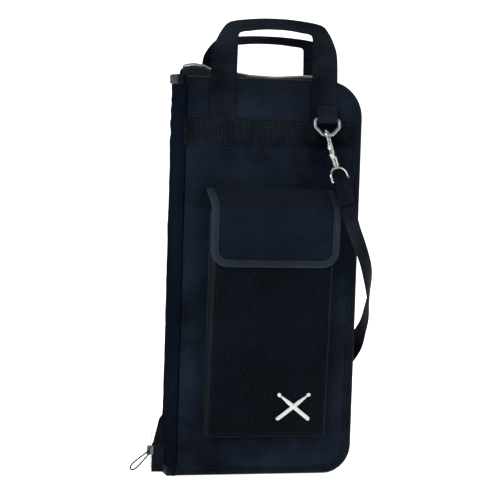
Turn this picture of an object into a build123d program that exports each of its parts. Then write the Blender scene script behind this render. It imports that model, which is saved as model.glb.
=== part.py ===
"""Drum stick bag: two padded halves on a soft spine, closed by a zip, with a front pocket,
two webbing handles and a clip-on shoulder strap.  Millimetres, +Z up, front towards -Y,
spine on the left (-X), origin at the centre of the base."""
import math
import os

from build123d import *

os.makedirs("parts", exist_ok=True)

# ---- driving dimensions -------------------------------------------------------------------
BODY_HEIGHT = 480.0
BODY_WIDTH = 228.0
SPINE_DEPTH = 56.0
EDGE_DEPTH = 32.0
TOP_CORNER = 45.0
BOTTOM_CORNER = 35.0

SHELL = 1.2
FOAM = 5.0
LINING = 0.8
BINDING_WIDTH = 12.0
BINDING = 1.2
SPINE_THICK = 5.0
SEAM_GAP = 0.1
BODY_GAP = 0.3

BAND_LOW = 397.5
BAND_HIGH = 429.6
WEBBING = 1.8
HANDLE_WEBBING_WIDTH = 32.0
HANDLE_CENTRE = 63.0
HANDLE_ROOT = 477.3
HANDLE_SHOULDER = 517.0
FRONT_GRIP_HEIGHT = 544.0
REAR_GRIP_HEIGHT = 527.0
GRIP_RADIUS = 6.6
GRIP_HALF_LENGTH = 59.0

POCKET_WIDTH = 148.0
POCKET_LOW = 48.0
POCKET_MOUTH = 322.0
POCKET_TOP_DEPTH = 28.0
POCKET_LOW_DEPTH = 14.0
POCKET_WALL = 1.6
FLAP_WIDTH = 160.0
FLAP_LOW = 255.0
FLAP_SEAM = 346.5
FLAP_THICK = 3.0
FLAP_FRONT = 32.5
FLAP_CORNER = 22.0

STRAP_WIDTH = 25.0
STRAP_THICK = 2.0
RING_WIRE = 2.15
RING_SPAN = 30.7
RING_DROP = 18.7
RING_PIVOT = (66.0, 433.0, 8.5)
RING_LEAN = 12.0

# ---- worked out from the above --------------------------------------------------------------
HALF_WIDTH = BODY_WIDTH / 2
LEAN = math.atan((SPINE_DEPTH - EDGE_DEPTH) / 2 / BODY_WIDTH)
MID_DEPTH = (SPINE_DEPTH + EDGE_DEPTH) / 4
PANEL_STACK = SHELL + FOAM + LINING
SPINE_INNER = -HALF_WIDTH + SPINE_THICK
PANEL_LEFT = SPINE_INNER + 0.6
HINGE_X = -HALF_WIDTH - 0.6

# local frames of the two outer faces: x along the face, y up, z outwards
FRONT = Plane(
    origin=(0, -MID_DEPTH, 0),
    x_dir=(math.cos(LEAN), math.sin(LEAN), 0),
    z_dir=(math.sin(LEAN), -math.cos(LEAN), 0),
)
REAR = Plane(
    origin=(0, MID_DEPTH, 0),
    x_dir=(-math.cos(LEAN), math.sin(LEAN), 0),
    z_dir=(math.sin(LEAN), math.cos(LEAN), 0),
)


def save(name, shape):
    """Write one node and report what it weighs in volume."""
    export_step(shape, f"parts/{name}.step")
    print(f"{name}: {shape.volume:.0f} mm3")


def save_pair(name, shape):
    """Write a front piece and its mirror image on the rear half."""
    save(f"front_{name}", shape)
    save(f"back_{name}", mirror(shape, about=Plane.XZ))


def block(x0, x1, y0, y1, z0, z1):
    """A box from its two corners."""
    return Pos((x0 + x1) / 2, (y0 + y1) / 2, (z0 + z1) / 2) * Box(x1 - x0, y1 - y0, z1 - z0)


def outline(inset, left=PANEL_LEFT):
    """The body's outline, square at the spine and rounded at the zip side, moved in by inset."""
    right = HALF_WIDTH - inset
    low = inset
    high = BODY_HEIGHT - inset
    top = max(TOP_CORNER - inset, 1.0)
    bottom = max(BOTTOM_CORNER - inset, 1.0)
    edges = [
        Line((left, low), (right - bottom, low)),
        CenterArc((right - bottom, low + bottom), bottom, 270, 90),
        Line((right, low + bottom), (right, high - top)),
        CenterArc((right - top, high - top), top, 0, 90),
        Line((right - top, high), (left, high)),
        Line((left, high), (left, low)),
    ]
    return make_face(Wire(edges))


def ring(outer, inner):
    """The band between two insets of the outline, open at the spine."""
    return outline(outer) - outline(inner, PANEL_LEFT - 20)


def on_front(sketch, near, far):
    """Extrude a sketch on the front face from one height above it to another."""
    return FRONT * Pos(0, 0, near) * extrude(sketch, far - near)


def on_face(face, u0, u1, v0, v1, w0, w1):
    """A box in a face's own frame."""
    return face * block(u0, u1, v0, v1, w0, w1)


# ---- the two padded halves --------------------------------------------------------------------
def padded_half():
    shell = outline(BINDING + SEAM_GAP)
    save_pair("panel", on_front(shell, -SHELL, 0))
    core = outline(BINDING + 2.0)
    save_pair("foam", on_front(core, -SHELL - FOAM, -SHELL))
    save_pair("lining", on_front(shell, -PANEL_STACK, -PANEL_STACK + LINING))


def edge_binding():
    band = on_front(ring(0, BINDING_WIDTH), -PANEL_STACK - BINDING, BINDING)
    slot = on_front(outline(BINDING, PANEL_LEFT - 5), -PANEL_STACK, 0)
    save_pair("edge_binding", band - slot)


def spine_gusset():
    y_left = -SPINE_DEPTH / 2
    y_inner = y_left + SPINE_THICK * math.tan(LEAN)
    points = [
        (-HALF_WIDTH, y_left),
        (SPINE_INNER, y_inner),
        (SPINE_INNER, -BODY_GAP),
        (-HALF_WIDTH, -BODY_GAP),
    ]
    profile = make_face(Polyline(*points, close=True))
    save_pair("spine_gusset", extrude(profile, BODY_HEIGHT))


def zip_halves():
    """The tape wall between the bound edge and the middle, and the teeth along it."""
    tape_outer = 4.0
    tape = 1.0
    teeth_outer = 3.2
    teeth_thick = 2.6
    teeth_reach = 2.2
    inner_face = -PANEL_STACK - BINDING - SEAM_GAP
    wall = Plane.XZ * extrude(ring(tape_outer, tape_outer + tape), SPINE_DEPTH)
    keep_behind = FRONT * block(-200, 200, -10, 500, inner_face - 60, inner_face)
    keep_front = block(-200, 200, -60, -teeth_reach, -10, 500)
    save_pair("zip_tape", wall & keep_behind & keep_front)
    teeth = Plane.XZ * extrude(ring(teeth_outer, teeth_outer + teeth_thick), teeth_reach - SEAM_GAP)
    save_pair("zip_teeth", Pos(0, -SEAM_GAP, 0) * teeth)


padded_half()
edge_binding()
spine_gusset()
zip_halves()


# ---- webbing band, handle ends and ring tabs -------------------------------------------------
def webbing_band():
    right = HALF_WIDTH - BINDING_WIDTH - SEAM_GAP
    band = on_face(FRONT, PANEL_LEFT, right, BAND_LOW, BAND_HIGH, 0, WEBBING)
    save_pair("webbing_band", band)


def handle_anchors():
    """The two webbing ends of a handle, sewn on the panel and over its bound hem."""
    low = BAND_HIGH + SEAM_GAP
    hem = BODY_HEIGHT - BINDING_WIDTH - 2.5
    raised = BINDING + SEAM_GAP
    ends = []
    for side in (-1, 1):
        u0 = side * HANDLE_CENTRE - HANDLE_WEBBING_WIDTH / 2
        u1 = side * HANDLE_CENTRE + HANDLE_WEBBING_WIDTH / 2
        ends.append(on_face(FRONT, u0, u1, low, hem, 0, raised + WEBBING))
        ends.append(on_face(FRONT, u0, u1, hem, HANDLE_ROOT - BODY_GAP, raised, raised + WEBBING))
    left = ends[0] + ends[1]
    right = ends[2] + ends[3]
    save_pair("handle_anchors", Compound([left, right]))


def ring_tab(side_name, face):
    """A folded webbing loop that carries the ring's top bar."""
    u, v, w = RING_PIVOT
    sheath = 3.7
    low_face = BINDING + SEAM_GAP + WEBBING + SEAM_GAP
    tube = Pos(u, v, w) * Rot(0, 90, 0) * Cylinder(sheath, STRAP_WIDTH)
    sewn = block(u - STRAP_WIDTH / 2, u + STRAP_WIDTH / 2, v + 1, v + 16, low_face, low_face + 3.6)
    web = block(u - STRAP_WIDTH / 2, u + STRAP_WIDTH / 2, v, v + 5, low_face, w)
    bore = Pos(u, v, w) * Rot(0, 90, 0) * Cylinder(RING_WIRE + 0.05, STRAP_WIDTH + 4)
    save(f"{side_name}_ring_tab", face * (tube + sewn + web - bore))


webbing_band()
handle_anchors()
ring_tab("front", FRONT)
ring_tab("rear", REAR)


# ---- handles ------------------------------------------------------------------------------------
def handle(grip_height):
    """Webbing that rises flat, folds to half its width and runs across as a thick grip."""
    w_mid = BINDING + SEAM_GAP + WEBBING / 2
    corner = GRIP_HALF_LENGTH
    path = FilletPolyline(
        (-corner - 2, HANDLE_SHOULDER - 2),
        (-corner, grip_height - 1),
        (0, grip_height + 1),
        (corner, grip_height - 1),
        (corner + 2, HANDLE_SHOULDER - 2),
        radius=[9, 400, 9],
    )
    wire = FRONT * Pos(0, 0, w_mid) * path
    section = Plane(origin=wire @ 0, z_dir=wire % 0) * Circle(GRIP_RADIUS)
    webbing = sweep(section, path=wire)
    for side in (-1, 1):
        centre = side * HANDLE_CENTRE
        half = HANDLE_WEBBING_WIDTH / 2
        face_low = Pos(centre, HANDLE_SHOULDER, w_mid) * Rot(90, 0, 0) * Rectangle(2 * half, WEBBING)
        face_high = Pos(side * (corner + 1), HANDLE_SHOULDER + 9, w_mid) * Rot(90, 0, 0) * Rectangle(14, 8)
        leg = block(centre - half, centre + half, HANDLE_ROOT, HANDLE_SHOULDER, w_mid - WEBBING / 2, w_mid + WEBBING / 2)
        webbing = webbing + FRONT * leg + FRONT * loft([face_low, face_high])
    return webbing


save("front_handle", handle(FRONT_GRIP_HEIGHT))
save("rear_handle", mirror(handle(REAR_GRIP_HEIGHT), about=Plane.XZ))


# ---- pocket, flap and emblem --------------------------------------------------------------------
def front_extrusion(points, width):
    """A profile of (height, outwards) points, centred across the front face."""
    side = Plane(origin=FRONT.origin, x_dir=FRONT.z_dir, z_dir=-FRONT.x_dir)
    profile = side * make_face(Polyline(*[(w, v) for v, w in points], close=True))
    return extrude(profile, width / 2, both=True)


def pocket():
    t = POCKET_WALL
    outer = [
        (POCKET_LOW, 0.1),
        (POCKET_LOW, POCKET_LOW_DEPTH),
        (POCKET_MOUTH, POCKET_TOP_DEPTH),
        (POCKET_MOUTH, 0.1),
    ]
    inner = [
        (POCKET_LOW + t, t),
        (POCKET_LOW + t, POCKET_LOW_DEPTH - t),
        (POCKET_MOUTH + 1, POCKET_TOP_DEPTH - t),
        (POCKET_MOUTH + 1, t),
    ]
    bag = front_extrusion(outer, POCKET_WIDTH) - front_extrusion(inner, POCKET_WIDTH - 2 * t)
    save("pocket", bag)
    hem = [
        (POCKET_MOUTH - 9, POCKET_TOP_DEPTH - 0.3),
        (POCKET_MOUTH - 9, POCKET_TOP_DEPTH + 0.6),
        (POCKET_MOUTH, POCKET_TOP_DEPTH + 1.0),
        (POCKET_MOUTH, POCKET_TOP_DEPTH + 0.1),
    ]
    save("pocket_hem", front_extrusion(hem, POCKET_WIDTH))


def pocket_front(v):
    """How far the pocket's front stands off the panel at a height."""
    share = (v - POCKET_LOW) / (POCKET_MOUTH - POCKET_LOW)
    return POCKET_LOW_DEPTH + share * (POCKET_TOP_DEPTH - POCKET_LOW_DEPTH)


def touch_fastener():
    loop = [(v, pocket_front(v) + lift) for v, lift in [(272, 0.05), (272, 1.0), (296, 1.0), (296, 0.05)]]
    save("pocket_loop_patch", front_extrusion(loop, 60))
    inner = FLAP_FRONT - FLAP_THICK
    hook = [(272, inner - 1.0), (272, inner - 0.05), (296, inner - 0.05), (296, inner - 1.0)]
    save("flap_hook_patch", front_extrusion(hook, 60))


def flap():
    """The flap with its bound edge; it slopes out from the seam and hangs over the mouth."""
    t = FLAP_THICK
    bend = POCKET_MOUTH + 8
    profile = [
        (FLAP_SEAM, 2.0),
        (bend, FLAP_FRONT),
        (FLAP_LOW, FLAP_FRONT),
        (FLAP_LOW, FLAP_FRONT - t),
        (bend - 2, FLAP_FRONT - t),
        (FLAP_SEAM - 3.6, 2.0),
    ]
    body = front_extrusion(profile, FLAP_WIDTH)
    half = FLAP_WIDTH / 2
    edge = 8.0

    def flap_outline(inset):
        side = half - inset
        low = FLAP_LOW + inset
        corner = FLAP_CORNER - inset
        shape = Pos(0, (low + FLAP_SEAM + 5) / 2) * Rectangle(2 * side, FLAP_SEAM + 5 - low)
        lower = shape.vertices().group_by(Axis.Y)[0]
        return FRONT * Pos(0, 0, -5) * extrude(fillet(lower, corner), 60)

    save("flap_panel", body & flap_outline(edge))
    save("flap_binding", body & (flap_outline(0) - flap_outline(edge - SEAM_GAP)))


def emblem():
    """A plain crossed-drumsticks badge, raised stitching on the pocket's lower right."""
    centre_u = 33.0
    centre_v = 84.0
    tilt = math.degrees(math.atan((POCKET_TOP_DEPTH - POCKET_LOW_DEPTH) / (POCKET_MOUTH - POCKET_LOW)))
    seat = FRONT * Pos(centre_u, centre_v, pocket_front(centre_v) + 0.1) * Rot(tilt, 0, 0)
    sticks = []
    for turn in (-38, 38):
        shaft = Rectangle(3.6, 44)
        tip = Pos(0, 25) * Ellipse(2.6, 4.0)
        sticks.append(Rot(0, 0, turn) * (shaft + tip))
    badge = sticks[0] + sticks[1]
    save("emblem_patch", seat * extrude(badge, 0.7))


pocket()
touch_fastener()
flap()
emblem()


# ---- rings and snap hooks -------------------------------------------------------------------------
HOOK_TILT = 15.0
HOOK_LEAN = 12.0
HOOK_YAW = 62.0
EYE_YAW = 28.0
BIGHT_RADIUS = 7.0
HOOK_WIRE = 1.8
SHANK_LENGTH = 25.0
BARREL_LOW = 38.0
EYE_TOP = 40.0
EYE_BAR = 57.0
EYE_HALF_SPAN = 14.5
EYE_WIRE = 1.5
FOLD_LENGTH = 30.0
POST_RADIUS = 1.9
RUNNING_GAP = 0.06
BOLT_RADIUS = 1.4


def ring_seat(face):
    """The ring's own frame: origin on its top bar, y up the ring, z outwards."""
    return face * Pos(*RING_PIVOT) * Rot(-RING_LEAN, 0, 0)


def ring_foot(face):
    """Where the ring's bottom bar is, in the face's frame."""
    u, v, w = RING_PIVOT
    lean = math.radians(RING_LEAN)
    return (u, v - RING_DROP * math.cos(lean), w + RING_DROP * math.sin(lean))


def d_ring(face):
    half = RING_SPAN / 2
    path = FilletPolyline(
        (half, 0), (half, -9), (6, -RING_DROP), (-6, -RING_DROP), (-half, -9), (-half, 0),
        radius=[3, 4, 4, 4, 4, 3], close=True,
    )
    section = Plane(origin=path @ 0, z_dir=path % 0) * Circle(RING_WIRE)
    return ring_seat(face) * sweep(section, path=path)


def hook_seat(face):
    """The hook's frame: origin at the centre of its bight, -y down towards the strap."""
    u, v, w = ring_foot(face)
    return face * Pos(u, v - 0.8, w) * Rot(-HOOK_LEAN, 0, 0) * Rot(0, 0, HOOK_TILT)


def snap_hook():
    """Bight, shank and hollow barrel of a bolt snap, in its own plane before the yaw."""
    bend = CenterArc((0, 0), BIGHT_RADIUS, 0, 180)
    shank = Line((BIGHT_RADIUS, -SHANK_LENGTH + 2), (BIGHT_RADIUS, 0))
    tip = Line((-BIGHT_RADIUS, 0), (-BIGHT_RADIUS, -1.5))
    path = Wire([shank, bend, tip])
    section = Plane(origin=path @ 0, z_dir=path % 0) * Circle(HOOK_WIRE)
    body = sweep(section, path=path)
    yoke = block(-BIGHT_RADIUS - 2.6, BIGHT_RADIUS + 1.8, -SHANK_LENGTH - 4, -SHANK_LENGTH + 2, -2.4, 2.4)
    sleeve = Pos(-BIGHT_RADIUS, -SHANK_LENGTH + 7, 0) * Rot(90, 0, 0) * Cylinder(2.6, 14)
    barrel = Pos(0, -(SHANK_LENGTH + 2 + BARREL_LOW) / 2, 0) * Rot(90, 0, 0)
    barrel = barrel * Cylinder(4.0, BARREL_LOW - SHANK_LENGTH - 2)
    bore = Pos(0, -BARREL_LOW + 3, 0) * Rot(90, 0, 0) * Cylinder(POST_RADIUS + RUNNING_GAP, 8)
    guide = Pos(-BIGHT_RADIUS, -SHANK_LENGTH + 8, 0) * Rot(90, 0, 0) * Cylinder(BOLT_RADIUS + RUNNING_GAP, 18)
    slit = block(-BIGHT_RADIUS - 4, -BIGHT_RADIUS, -SHANK_LENGTH + 1.5, -SHANK_LENGTH + 11.5, -0.9, 0.9)
    return body + yoke + sleeve + barrel - bore - guide - slit


def snap_bolt():
    """The sliding gate with its thumb knob; it meets the hook's tip when closed."""
    top = -1.5 - SEAM_GAP * 3
    low = -SHANK_LENGTH + 7.5
    rod = Pos(-BIGHT_RADIUS, (top + low) / 2, 0) * Rot(90, 0, 0) * Cylinder(BOLT_RADIUS, top - low)
    stem = block(-BIGHT_RADIUS - 4.4, -BIGHT_RADIUS, low + 0.6, low + 2.2, -0.8, 0.8)
    knob = Pos(-BIGHT_RADIUS - 4.6, low + 1.4, 0) * Rot(0, 90, 0) * Cylinder(2.2, 1.8)
    return rod + stem + knob


def bolt_spring():
    """The compressed return spring in the blind sleeve under the bolt, as a plain tube."""
    top = -SHANK_LENGTH + 7.2
    low = -SHANK_LENGTH + 0.4 - 1.2
    outer = Pos(-BIGHT_RADIUS, (top + low) / 2, 0) * Rot(90, 0, 0) * Cylinder(1.3, top - low)
    inner = Pos(-BIGHT_RADIUS, (top + low) / 2, 0) * Rot(90, 0, 0) * Cylinder(0.7, top - low)
    return outer - inner


def swivel_eye():
    """Post, collar and a D of wire whose flat bar takes the strap."""
    post = Pos(0, -(BARREL_LOW - 3.5 + EYE_TOP) / 2, 0) * Rot(90, 0, 0)
    post = post * Cylinder(POST_RADIUS, EYE_TOP - BARREL_LOW + 3.5)
    collar = Pos(0, -EYE_TOP, 0) * Rot(90, 0, 0) * Cylinder(3.2, 3.0)
    half = EYE_HALF_SPAN
    path = FilletPolyline(
        (half, -EYE_BAR), (half, -EYE_TOP - 0.5), (-half, -EYE_TOP - 0.5), (-half, -EYE_BAR),
        radius=[1.6, 12, 12, 1.6], close=True,
    )
    section = Plane(origin=path @ 0, z_dir=path % 0) * Circle(EYE_WIRE)
    return post + collar + sweep(section, path=path)


def strap_end():
    """The strap's end folded round the eye's bar and sewn back on itself."""
    outer = EYE_WIRE + 0.05 + STRAP_THICK
    tube = Pos(0, -EYE_BAR, 0) * Rot(0, 90, 0) * Cylinder(outer, STRAP_WIDTH)
    doubled = block(-STRAP_WIDTH / 2, STRAP_WIDTH / 2, -EYE_BAR - FOLD_LENGTH, -EYE_BAR, -2.1, 2.1)
    bore = Pos(0, -EYE_BAR, 0) * Rot(0, 90, 0) * Cylinder(EYE_WIRE + 0.05, STRAP_WIDTH + 2)
    return tube + doubled - bore


def clip(name, face):
    """Everything that hangs from one ring."""
    seat = hook_seat(face)
    yawed = seat * Rot(0, HOOK_YAW, 0)
    eye = seat * Rot(0, EYE_YAW, 0)
    save(f"{name}_d_ring", d_ring(face))
    save(f"{name}_snap_hook", yawed * snap_hook())
    save(f"{name}_hook_bolt", yawed * snap_bolt())
    save(f"{name}_bolt_spring", yawed * bolt_spring())
    save(f"{name}_swivel_eye", eye * swivel_eye())
    save(f"{name}_strap_end", eye * strap_end())
    foot = face * Pos(*ring_foot(face))
    axis = seat * Pos(0, -1, 0)
    end = eye * Pos(0, -EYE_BAR - FOLD_LENGTH - BODY_GAP, 0)
    print(name, "ring axis at", (face * Pos(*RING_PIVOT)).position, "along", face.x_dir)
    print(name, "ring foot", foot.position, "hook origin", seat.position)
    print(name, "hook axis", seat.position - axis.position, "strap starts", end.position)
    bar = (eye * Pos(1, 0, 0)).position - eye.position
    print(name, "eye bar direction", bar)
    return end.position, bar


FRONT_START, FRONT_BAR = clip("front", FRONT)
REAR_START, REAR_BAR = clip("rear", REAR)


# ---- shoulder strap -----------------------------------------------------------------------------
# a hand-set route: out of the front clip, round the zip edge, in a slack loop behind, up to the rear clip
STRAP_ROUTE = [
    (88.8, -47.1, 331.5),
    (96.5, -51.5, 305.0),
    (108, -51, 280),
    (118, -45, 256),
    (125, -33, 232),
    (129, -17, 208),
    (130, 0, 183),
    (126, 17, 159),
    (116, 32, 137),
    (102, 44, 117),
    (84, 52, 99),
    (62, 57, 85),
    (38, 60, 76),
    (12, 61, 73),
    (-13, 61, 79),
    (-35, 61, 93),
    (-52, 61, 114),
    (-64, 61, 140),
    (-72, 60.5, 170),
    (-77, 60, 202),
    (-80.5, 59.5, 236),
    (-82.5, 59, 270),
    (-84, 58, 301),
    (-85.7, 56.3, 331.5),
]


def strap_path():
    points = [Vector(*p) for p in STRAP_ROUTE]
    points[0] = FRONT_START
    points[-1] = REAR_START
    radii = []
    for before, here, after in zip(points, points[1:], points[2:]):
        turn = math.radians((here - before).get_angle(after - here))
        run = min((here - before).length, (after - here).length)
        radii.append(0.45 * run / math.tan(turn / 2))
    print("strap radii", [round(r) for r in radii])
    return FilletPolyline(*points, radius=radii)


def facing(share):
    """Which way the strap's outer face looks: front, then right, then rear."""
    marks = [(0, -62), (0.12, -45), (0.25, 0), (0.33, 40), (0.42, 78), (0.6, 90), (0.9, 96), (1, 118)]
    for (s0, a0), (s1, a1) in zip(marks, marks[1:]):
        if share <= s1:
            angle = math.radians(a0 + (a1 - a0) * (share - s0) / (s1 - s0))
            return Vector(math.cos(angle), math.sin(angle), 0)
    return Vector(0, 1, 0)


def strap_frame(path, share):
    """Centre, width direction and thickness direction of the strap at a share of its length."""
    centre = path @ share
    along = (path % share).normalized()
    across = facing(share).cross(along).normalized()
    if share == 0:
        across = FRONT_BAR
    if share == 1:
        across = REAR_BAR
    if across.dot(facing(share).cross(along)) < 0:
        across = -across
    return centre, across, along.cross(across).normalized()


def shoulder_strap(path, length):
    steps = round(length / 13)
    rows = []
    for step in range(steps + 1):
        centre, across, out = strap_frame(path, step / steps)
        half = across * (STRAP_WIDTH / 2)
        lift = out * (STRAP_THICK / 2)
        rows.append([centre - half - lift, centre + half - lift, centre + half + lift, centre - half + lift])
    faces = []
    for first, second in zip(rows, rows[1:]):
        for k in range(4):
            a, b = first[k], first[(k + 1) % 4]
            c, d = second[(k + 1) % 4], second[k]
            faces.append(make_face(Polyline(a, b, c, close=True)))
            faces.append(make_face(Polyline(a, c, d, close=True)))
    faces.append(make_face(Polyline(*rows[0], close=True)))
    faces.append(make_face(Polyline(*rows[-1], close=True)))
    solid = Solid(Shell(faces))
    print("strap volume over section times length", solid.volume / (STRAP_WIDTH * STRAP_THICK * length))
    return solid


def strap_adjuster(path):
    """A three-bar slide on the rising run of the strap, with room for the webbing."""
    centre, across, out = strap_frame(path, 0.84)
    seat = Plane(origin=centre, x_dir=across, z_dir=out)
    frame = Box(STRAP_WIDTH + 8, 20, 6.4)
    tunnel = Box(STRAP_WIDTH + 1.6, 40, STRAP_THICK + 1.4)
    windows = [Pos(0, side * 4.8, 0) * Box(STRAP_WIDTH + 1.6, 5.6, 12) for side in (-1, 1)]
    return seat * (frame - tunnel - windows[0] - windows[1])


STRAP_PATH = strap_path()
STRAP_LENGTH = STRAP_PATH.length
print("strap length", STRAP_LENGTH)
save("shoulder_strap", shoulder_strap(STRAP_PATH, STRAP_LENGTH))
save("strap_adjuster", strap_adjuster(STRAP_PATH))


# ---- zip tail, slider and pull ---------------------------------------------------------------------
TAIL_Y = 0.5
TAIL_ROOT_X = HINGE_X - 1.0
CHAIN_X = -133.0
CHAIN_LOW = 5.0
CHAIN_HIGH = 50.0
SLIDER_Z = 27.0


def zip_tail():
    tape = Polyline(
        (TAIL_ROOT_X, 78), (TAIL_ROOT_X, 66), (-121, 44), (-121, 36), (CHAIN_X + 1.4, 36),
        (CHAIN_X + 1.4, 52), (-127, 62), close=True,
    )
    save("zip_tail_tape", Pos(0, TAIL_Y, 0) * extrude(Plane.XZ * make_face(tape), 2 * TAIL_Y))
    tab = block(CHAIN_X + 1.4, -118.5, -1.1, 1.1, 0.3, 36)
    save("zip_end_tab", tab)
    chain = block(CHAIN_X - 1.3, CHAIN_X + 1.3, -1.2, 1.2, CHAIN_LOW, CHAIN_HIGH)
    save("zip_tail_teeth", chain)


def zip_slider():
    """Two plates joined by a wedge outboard of the chain, with a bridge for the pull."""
    low = SLIDER_Z - 5.5
    high = SLIDER_Z + 5.5
    shell = block(CHAIN_X - 4.6, CHAIN_X + 2.8, -2.9, 2.9, low, high)
    channel = block(CHAIN_X - 1.6, CHAIN_X + 4, -1.5, 1.5, low - 1, high + 1)
    bridge_outer = block(CHAIN_X - 1.8, CHAIN_X + 0.4, -6.4, -2.9, SLIDER_Z - 3.6, SLIDER_Z + 3.6)
    bridge_eye = block(CHAIN_X - 4, CHAIN_X + 3, -5.4, -2.9, SLIDER_Z - 2.6, SLIDER_Z + 2.6)
    save("zip_slider", shell - channel + (bridge_outer - bridge_eye))


def zip_pull():
    """A long narrow loop of wire hanging from the slider's bridge, down and to the left."""
    wire = 0.85
    half = 4.5
    reach = 30.0
    path = FilletPolyline(
        (half, 0), (half, -reach), (-half, -reach), (-half, 0),
        radius=[2.0, 3.8, 3.8, 2.0], close=True,
    )
    section = Plane(origin=path @ 0, z_dir=path % 0) * Circle(wire)
    loop = sweep(section, path=path)
    seat = Pos(CHAIN_X - 0.7, -4.2, SLIDER_Z) * Rot(0, 47, 0) * Rot(90, 0, 0)
    save("zip_pull", seat * loop)


zip_tail()
zip_slider()
zip_pull()


# ---- inside: stick compartments on the rear half, flat pocket in the cover -------------------------
def stick_sleeve():
    """A sheet held off the lining by stitched dividers, open at the top."""
    near = -PANEL_STACK - SEAM_GAP
    depth = 9.5
    sheet = 1.0
    left = -98.0
    right = 91.0
    low = 16.0
    high = 300.0
    front_sheet = block(left, right, low, high, near - depth, near - depth + sheet)
    body = front_sheet + block(left, right, low, low + sheet, near - depth, near)
    for number in range(5):
        u = left + (right - left - sheet) * number / 4
        body = body + block(u, u + sheet, low, high, near - depth, near)
    save("stick_sleeve", mirror(FRONT * body, about=Plane.XZ))
    edge = block(left, right, high - 9, high, near - depth - 0.9, near - depth - SEAM_GAP)
    save("sleeve_binding", mirror(FRONT * edge, about=Plane.XZ))


def inner_pocket():
    near = -PANEL_STACK - SEAM_GAP
    depth = 9.0
    outer = block(-90, 32, 20, 200, near - depth, near)
    hollow = block(-89, 31, 21, 201, near - depth + 1, near + 1)
    save("inner_pocket", FRONT * (outer - hollow))


stick_sleeve()
inner_pocket()
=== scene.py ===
"""Drum stick bag: soft goods, strap, hardware and finishes around the fixed frame. Metres."""
import math
import random

import bmesh
import bpy
from mathutils import Matrix, Vector, noise
from mathutils.bvhtree import BVHTree


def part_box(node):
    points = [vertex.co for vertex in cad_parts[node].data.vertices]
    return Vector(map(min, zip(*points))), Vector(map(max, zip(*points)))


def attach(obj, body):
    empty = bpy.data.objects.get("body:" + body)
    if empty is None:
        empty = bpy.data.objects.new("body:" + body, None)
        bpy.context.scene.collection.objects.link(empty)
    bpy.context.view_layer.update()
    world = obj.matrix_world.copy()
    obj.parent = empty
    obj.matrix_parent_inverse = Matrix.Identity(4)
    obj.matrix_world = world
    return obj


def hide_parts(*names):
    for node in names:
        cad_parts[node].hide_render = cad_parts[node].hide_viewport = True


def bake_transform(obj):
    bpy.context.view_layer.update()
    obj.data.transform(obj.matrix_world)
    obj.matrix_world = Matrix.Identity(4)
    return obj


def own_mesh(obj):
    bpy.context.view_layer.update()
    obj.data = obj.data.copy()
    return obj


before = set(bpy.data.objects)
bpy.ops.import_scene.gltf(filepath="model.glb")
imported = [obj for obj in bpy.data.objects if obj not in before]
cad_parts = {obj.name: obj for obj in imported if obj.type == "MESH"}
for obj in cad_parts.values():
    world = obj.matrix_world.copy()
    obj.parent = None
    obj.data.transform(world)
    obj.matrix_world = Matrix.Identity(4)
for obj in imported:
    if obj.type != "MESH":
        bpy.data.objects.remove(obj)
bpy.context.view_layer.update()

# ---- Camera, light and floor -------------------------------------------------------------------
# A long lens a little left of the front and just above the middle, tilted as the bag is seen.
# The floor is a pale sheet that runs up behind as a backdrop; three large soft lights.
scene = bpy.context.scene
scene.view_settings.view_transform = "Standard"

BAG_MIDDLE = Vector((0, 0, 0.25))
CAMERA_DISTANCE = 2.5
CAMERA_AZIMUTH = math.radians(-13.2)
CAMERA_ELEVATION = math.radians(4.4)
CAMERA_ROLL = math.radians(1.9)
LENS_PER_DISTANCE = 59.1

back = Vector((
    math.sin(CAMERA_AZIMUTH) * math.cos(CAMERA_ELEVATION),
    -math.cos(CAMERA_AZIMUTH) * math.cos(CAMERA_ELEVATION),
    math.sin(CAMERA_ELEVATION),
))
camera_data = bpy.data.cameras.new("camera")
camera = bpy.data.objects.new("camera", camera_data)
scene.collection.objects.link(camera)
camera.location = BAG_MIDDLE + back * CAMERA_DISTANCE
camera.rotation_mode = "QUATERNION"
aim = (-back).to_track_quat("-Z", "Y")
camera.rotation_quaternion = aim @ Matrix.Rotation(CAMERA_ROLL, 4, "Z").to_quaternion()
camera_data.lens = LENS_PER_DISTANCE * CAMERA_DISTANCE
camera_data.sensor_width = 36
camera_data.shift_x = -0.027
camera_data.shift_y = 0.0364
camera_data.clip_end = 50
scene.camera = camera


def soft_light(name, place, size, power):
    """A square area light that faces the bag."""
    data = bpy.data.lights.new(name, "AREA")
    data.size = size
    data.energy = power
    lamp = bpy.data.objects.new(name, data)
    scene.collection.objects.link(lamp)
    lamp.location = place
    lamp.rotation_euler = (BAG_MIDDLE - Vector(place)).to_track_quat("-Z", "Y").to_euler()


soft_light("key", (-1.5, -1.9, 1.5), 1.2, 46)
soft_light("side", (-2.3, 0.1, 1.0), 0.9, 13)
soft_light("fill", (1.7, -1.7, 0.9), 1.4, 15)
soft_light("top", (0.1, 0.2, 2.3), 1.2, 24)

world = bpy.data.worlds.new("studio")
world.use_nodes = True
sky = world.node_tree.nodes["Background"]
sky.inputs["Color"].default_value = (1, 1, 1, 1)
seen = world.node_tree.nodes.new("ShaderNodeLightPath")
strength = world.node_tree.nodes.new("ShaderNodeMapRange")
strength.inputs["To Min"].default_value = 0.14
strength.inputs["To Max"].default_value = 1.1
world.node_tree.links.new(seen.outputs["Is Camera Ray"], strength.inputs["Value"])
world.node_tree.links.new(strength.outputs["Result"], sky.inputs["Strength"])
scene.world = world


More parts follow.
